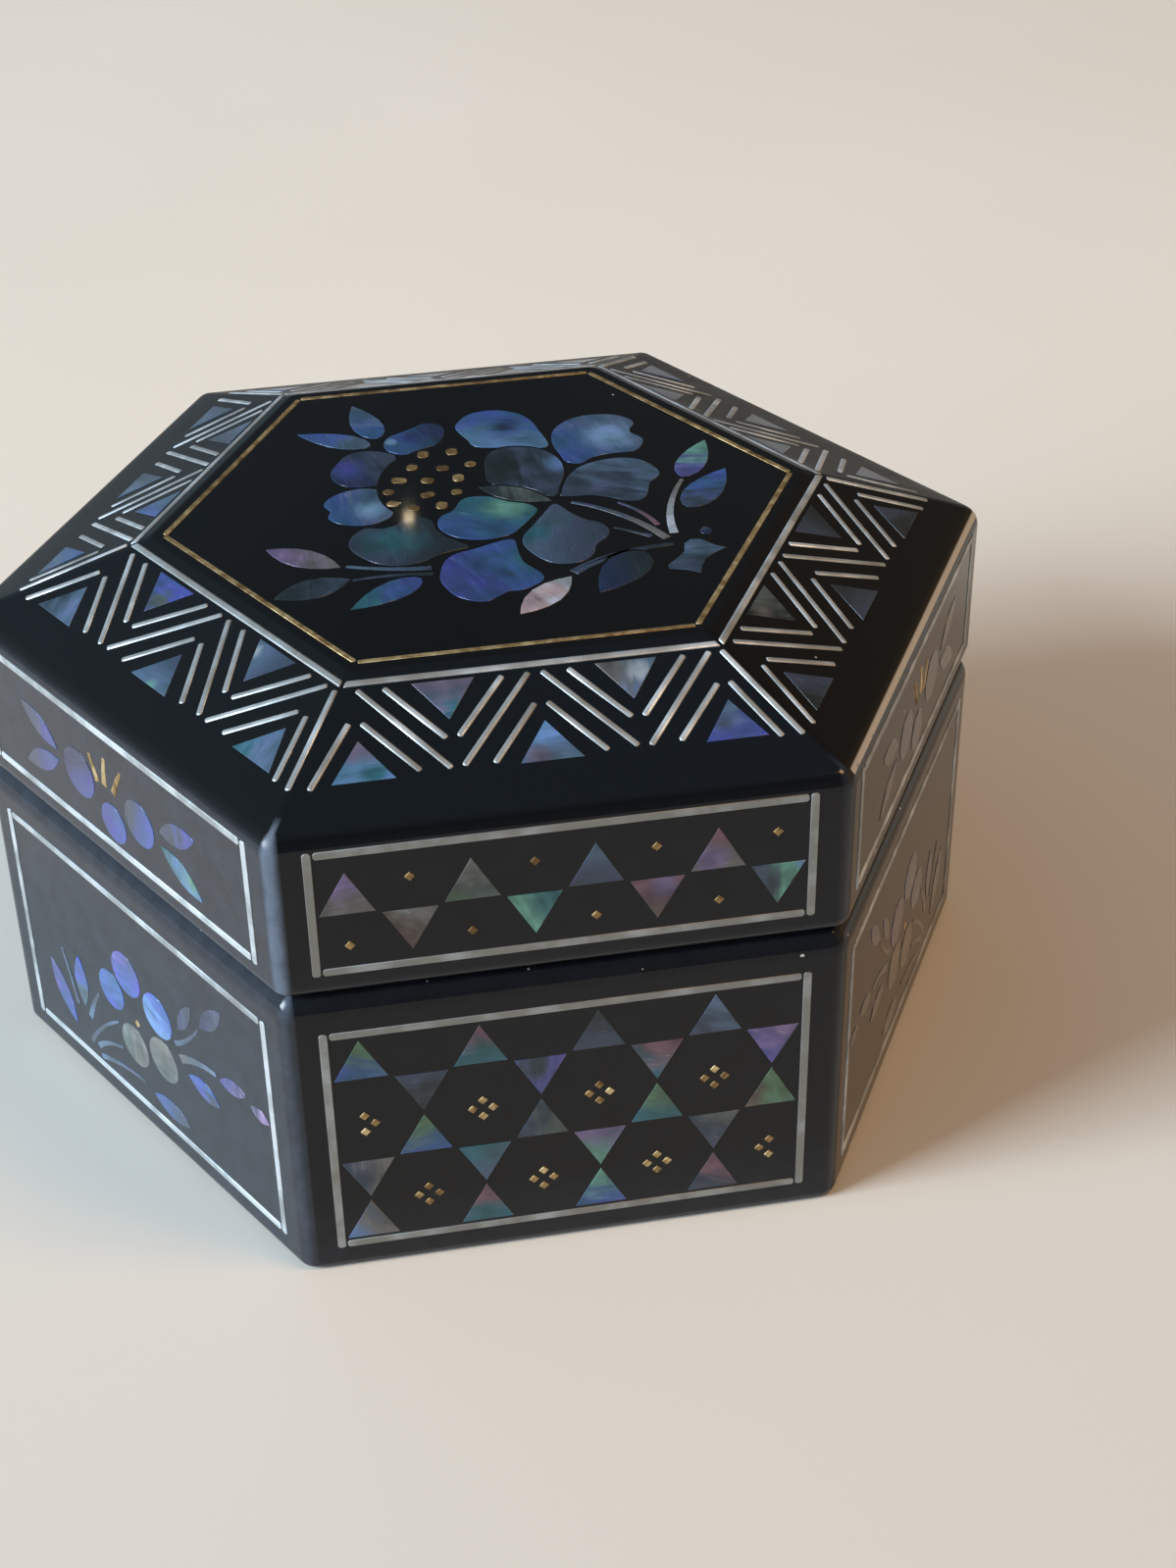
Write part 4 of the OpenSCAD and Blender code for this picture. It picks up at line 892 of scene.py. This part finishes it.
# The mist spots and the grey spot on the right slope are painted glints.
slope_rows = {
    0: [[("steel", "mauve", 90, "teal", (0.3, -1.0), 0.9), ("grey", "steel", 0, "mist", (0.6, 0.1), 1.0)],
        [("sky", "mauve", 90, "teal", (0.6, -0.6), 0.9), ("steel", "sky", 90, "mauve", (-0.7, -0.6), 0.9),
         ("indigo", "steel", 90, "slate", (-0.5, 0.2), 0.9)]],
    5: [[("slate", "indigo", 90, "fog", (0.2, -0.5), 0.9), ("steel", "slate", 0, "mist", (-1.2, 0), 0.7)],
        [("slate", "steel", 30), ("steel", "slate", 90, "sea", (0.2, -1.0), 0.7), ("teal", "steel", 20)]],
    1: [[("dusk", "fog", 40, "grey", (-0.6, 0.1), 1.0), ("slate", "dusk", 0)],
        [("dusk", "slate", 30), ("slate", "dusk", 90), ("dusk", "slate", 60)]],
}
slope_pairs = [("steel", "deep"), ("slate", "steel"), ("blue", "steel"), ("steel", "slate"), ("slate", "teal")]
shell_slips("slope_triangles", "slope_shell_triangles", "lid",
            in_rows(slope_rows, scattered(slope_pairs, 31)), 0.82, lean=np.pi / 2 - slope, finish=satin_shell)


# ---- Top panel ----
# A silver line round the panel and a gold line inside it, then a peony: eleven shell petals
# round a black eye sown with gold seeds, with leaves, buds, stems and one five-pointed leaf.
silver_strips("panel_silver_line", "top_silver_line", "lid", zigzag_easing, slope_tarnish)
gold_slips("panel_gold_line", "top_gold_line", "lid", -0.2)

# The glow spots on three petals are painted highlights.
petal_tones = [
    ((-0.1, -1.7), "blue", "teal", 60, "sea", (1.2, 0.9), 1.9),
    ((3.1, 3.6), "dusk", "slate", 0, "sky", (2.2, 0.3), 1.3),
    ((4.2, -5.0), "steel", "slate", 350, "teal", (-1.8, 0.9), 1.5),
    ((7.8, 1.1), "slate", "steel", 60, "slate", (0.2, 0.2), 1.6),
    ((8.2, 6.7), "blue", "steel", 20, "glow", (0.5, 0.2), 2.3),
    ((2.3, 8.7), "sky", "blue", 70, "deep", (0.4, 0.5), 1.4),
    ((-0.7, -7.9), "indigo", "blue", 20, "teal", (1.9, 0.9), 1.7),
    ((-4.8, -3.5), "slate", "dusk", 0, "teal", (-0.7, 0.1), 2.3),
    ((-7.1, 0.9), "blue", "steel", 0, "glow", (0.7, -0.3), 1.4),
    ((-6.2, 5.6), "deep", "slate", 20, "indigo", (-1.0, 0.1), 1.7),
    ((-2.9, 8.8), "blue", "deep", 10, "glow", (-1.4, -0.1), 0.6),
]
shell_slips("panel_petals", "top_flower_petals", "lid", nearest(petal_tones), 0.68, lean=None)

leaf_tones = [
    ((2.0, 0.8), "dusk", "fog", 0), ((-5.5, 11.7), "blue", "steel", 80), ((-7.6, 9.7), "steel", "blue", 180),
    ((-10.7, -4.3), "grey", "lilac", 180), ((-10.6, -7.8), "dusk", "slate", 0),
    ((-6.7, -9.1), "indigo", "teal", 180, "blue", (0.6, 0.2), 1.0), ((6.3, -9.4), "deep", "dusk", 0),
    ((1.8, -11.0), "pink", "mist", 30, "pink", (0.4, 0.4), 1.2), ((13.1, 3.0), "violet", "sea", 80),
    ((13.0, -0.8), "slate", "blue", 90), ((11.8, -5.7), "deep", "slate", 90), ((10.6, -8.4), "slate", "steel", 90),
]
shell_slips("panel_leaves", "top_leaf_slips", "lid", nearest(leaf_tones), 0.74, lean=None)

stem_tones = [
    ((-6.1, -6.4), "steel", "slate", 0), ((-6.1, -7.3), "slate", "dusk", 0), ((10.6, -2.6), "mist", "grey", 90),
    ((8.6, -3.0), "rose", "slate", 90), ((7.4, -3.3), "grey", "slate", 90), ((7.7, -5.0), "dusk", "slate", 0),
    ((6.7, -7.6), "slate", "dusk", 0),
]
shell_slips("panel_stems", "top_stem_slips", "lid", nearest(stem_tones), 0.9, lean=None)
gold_slips("panel_seeds", "top_gold_seeds", "lid", -0.35)
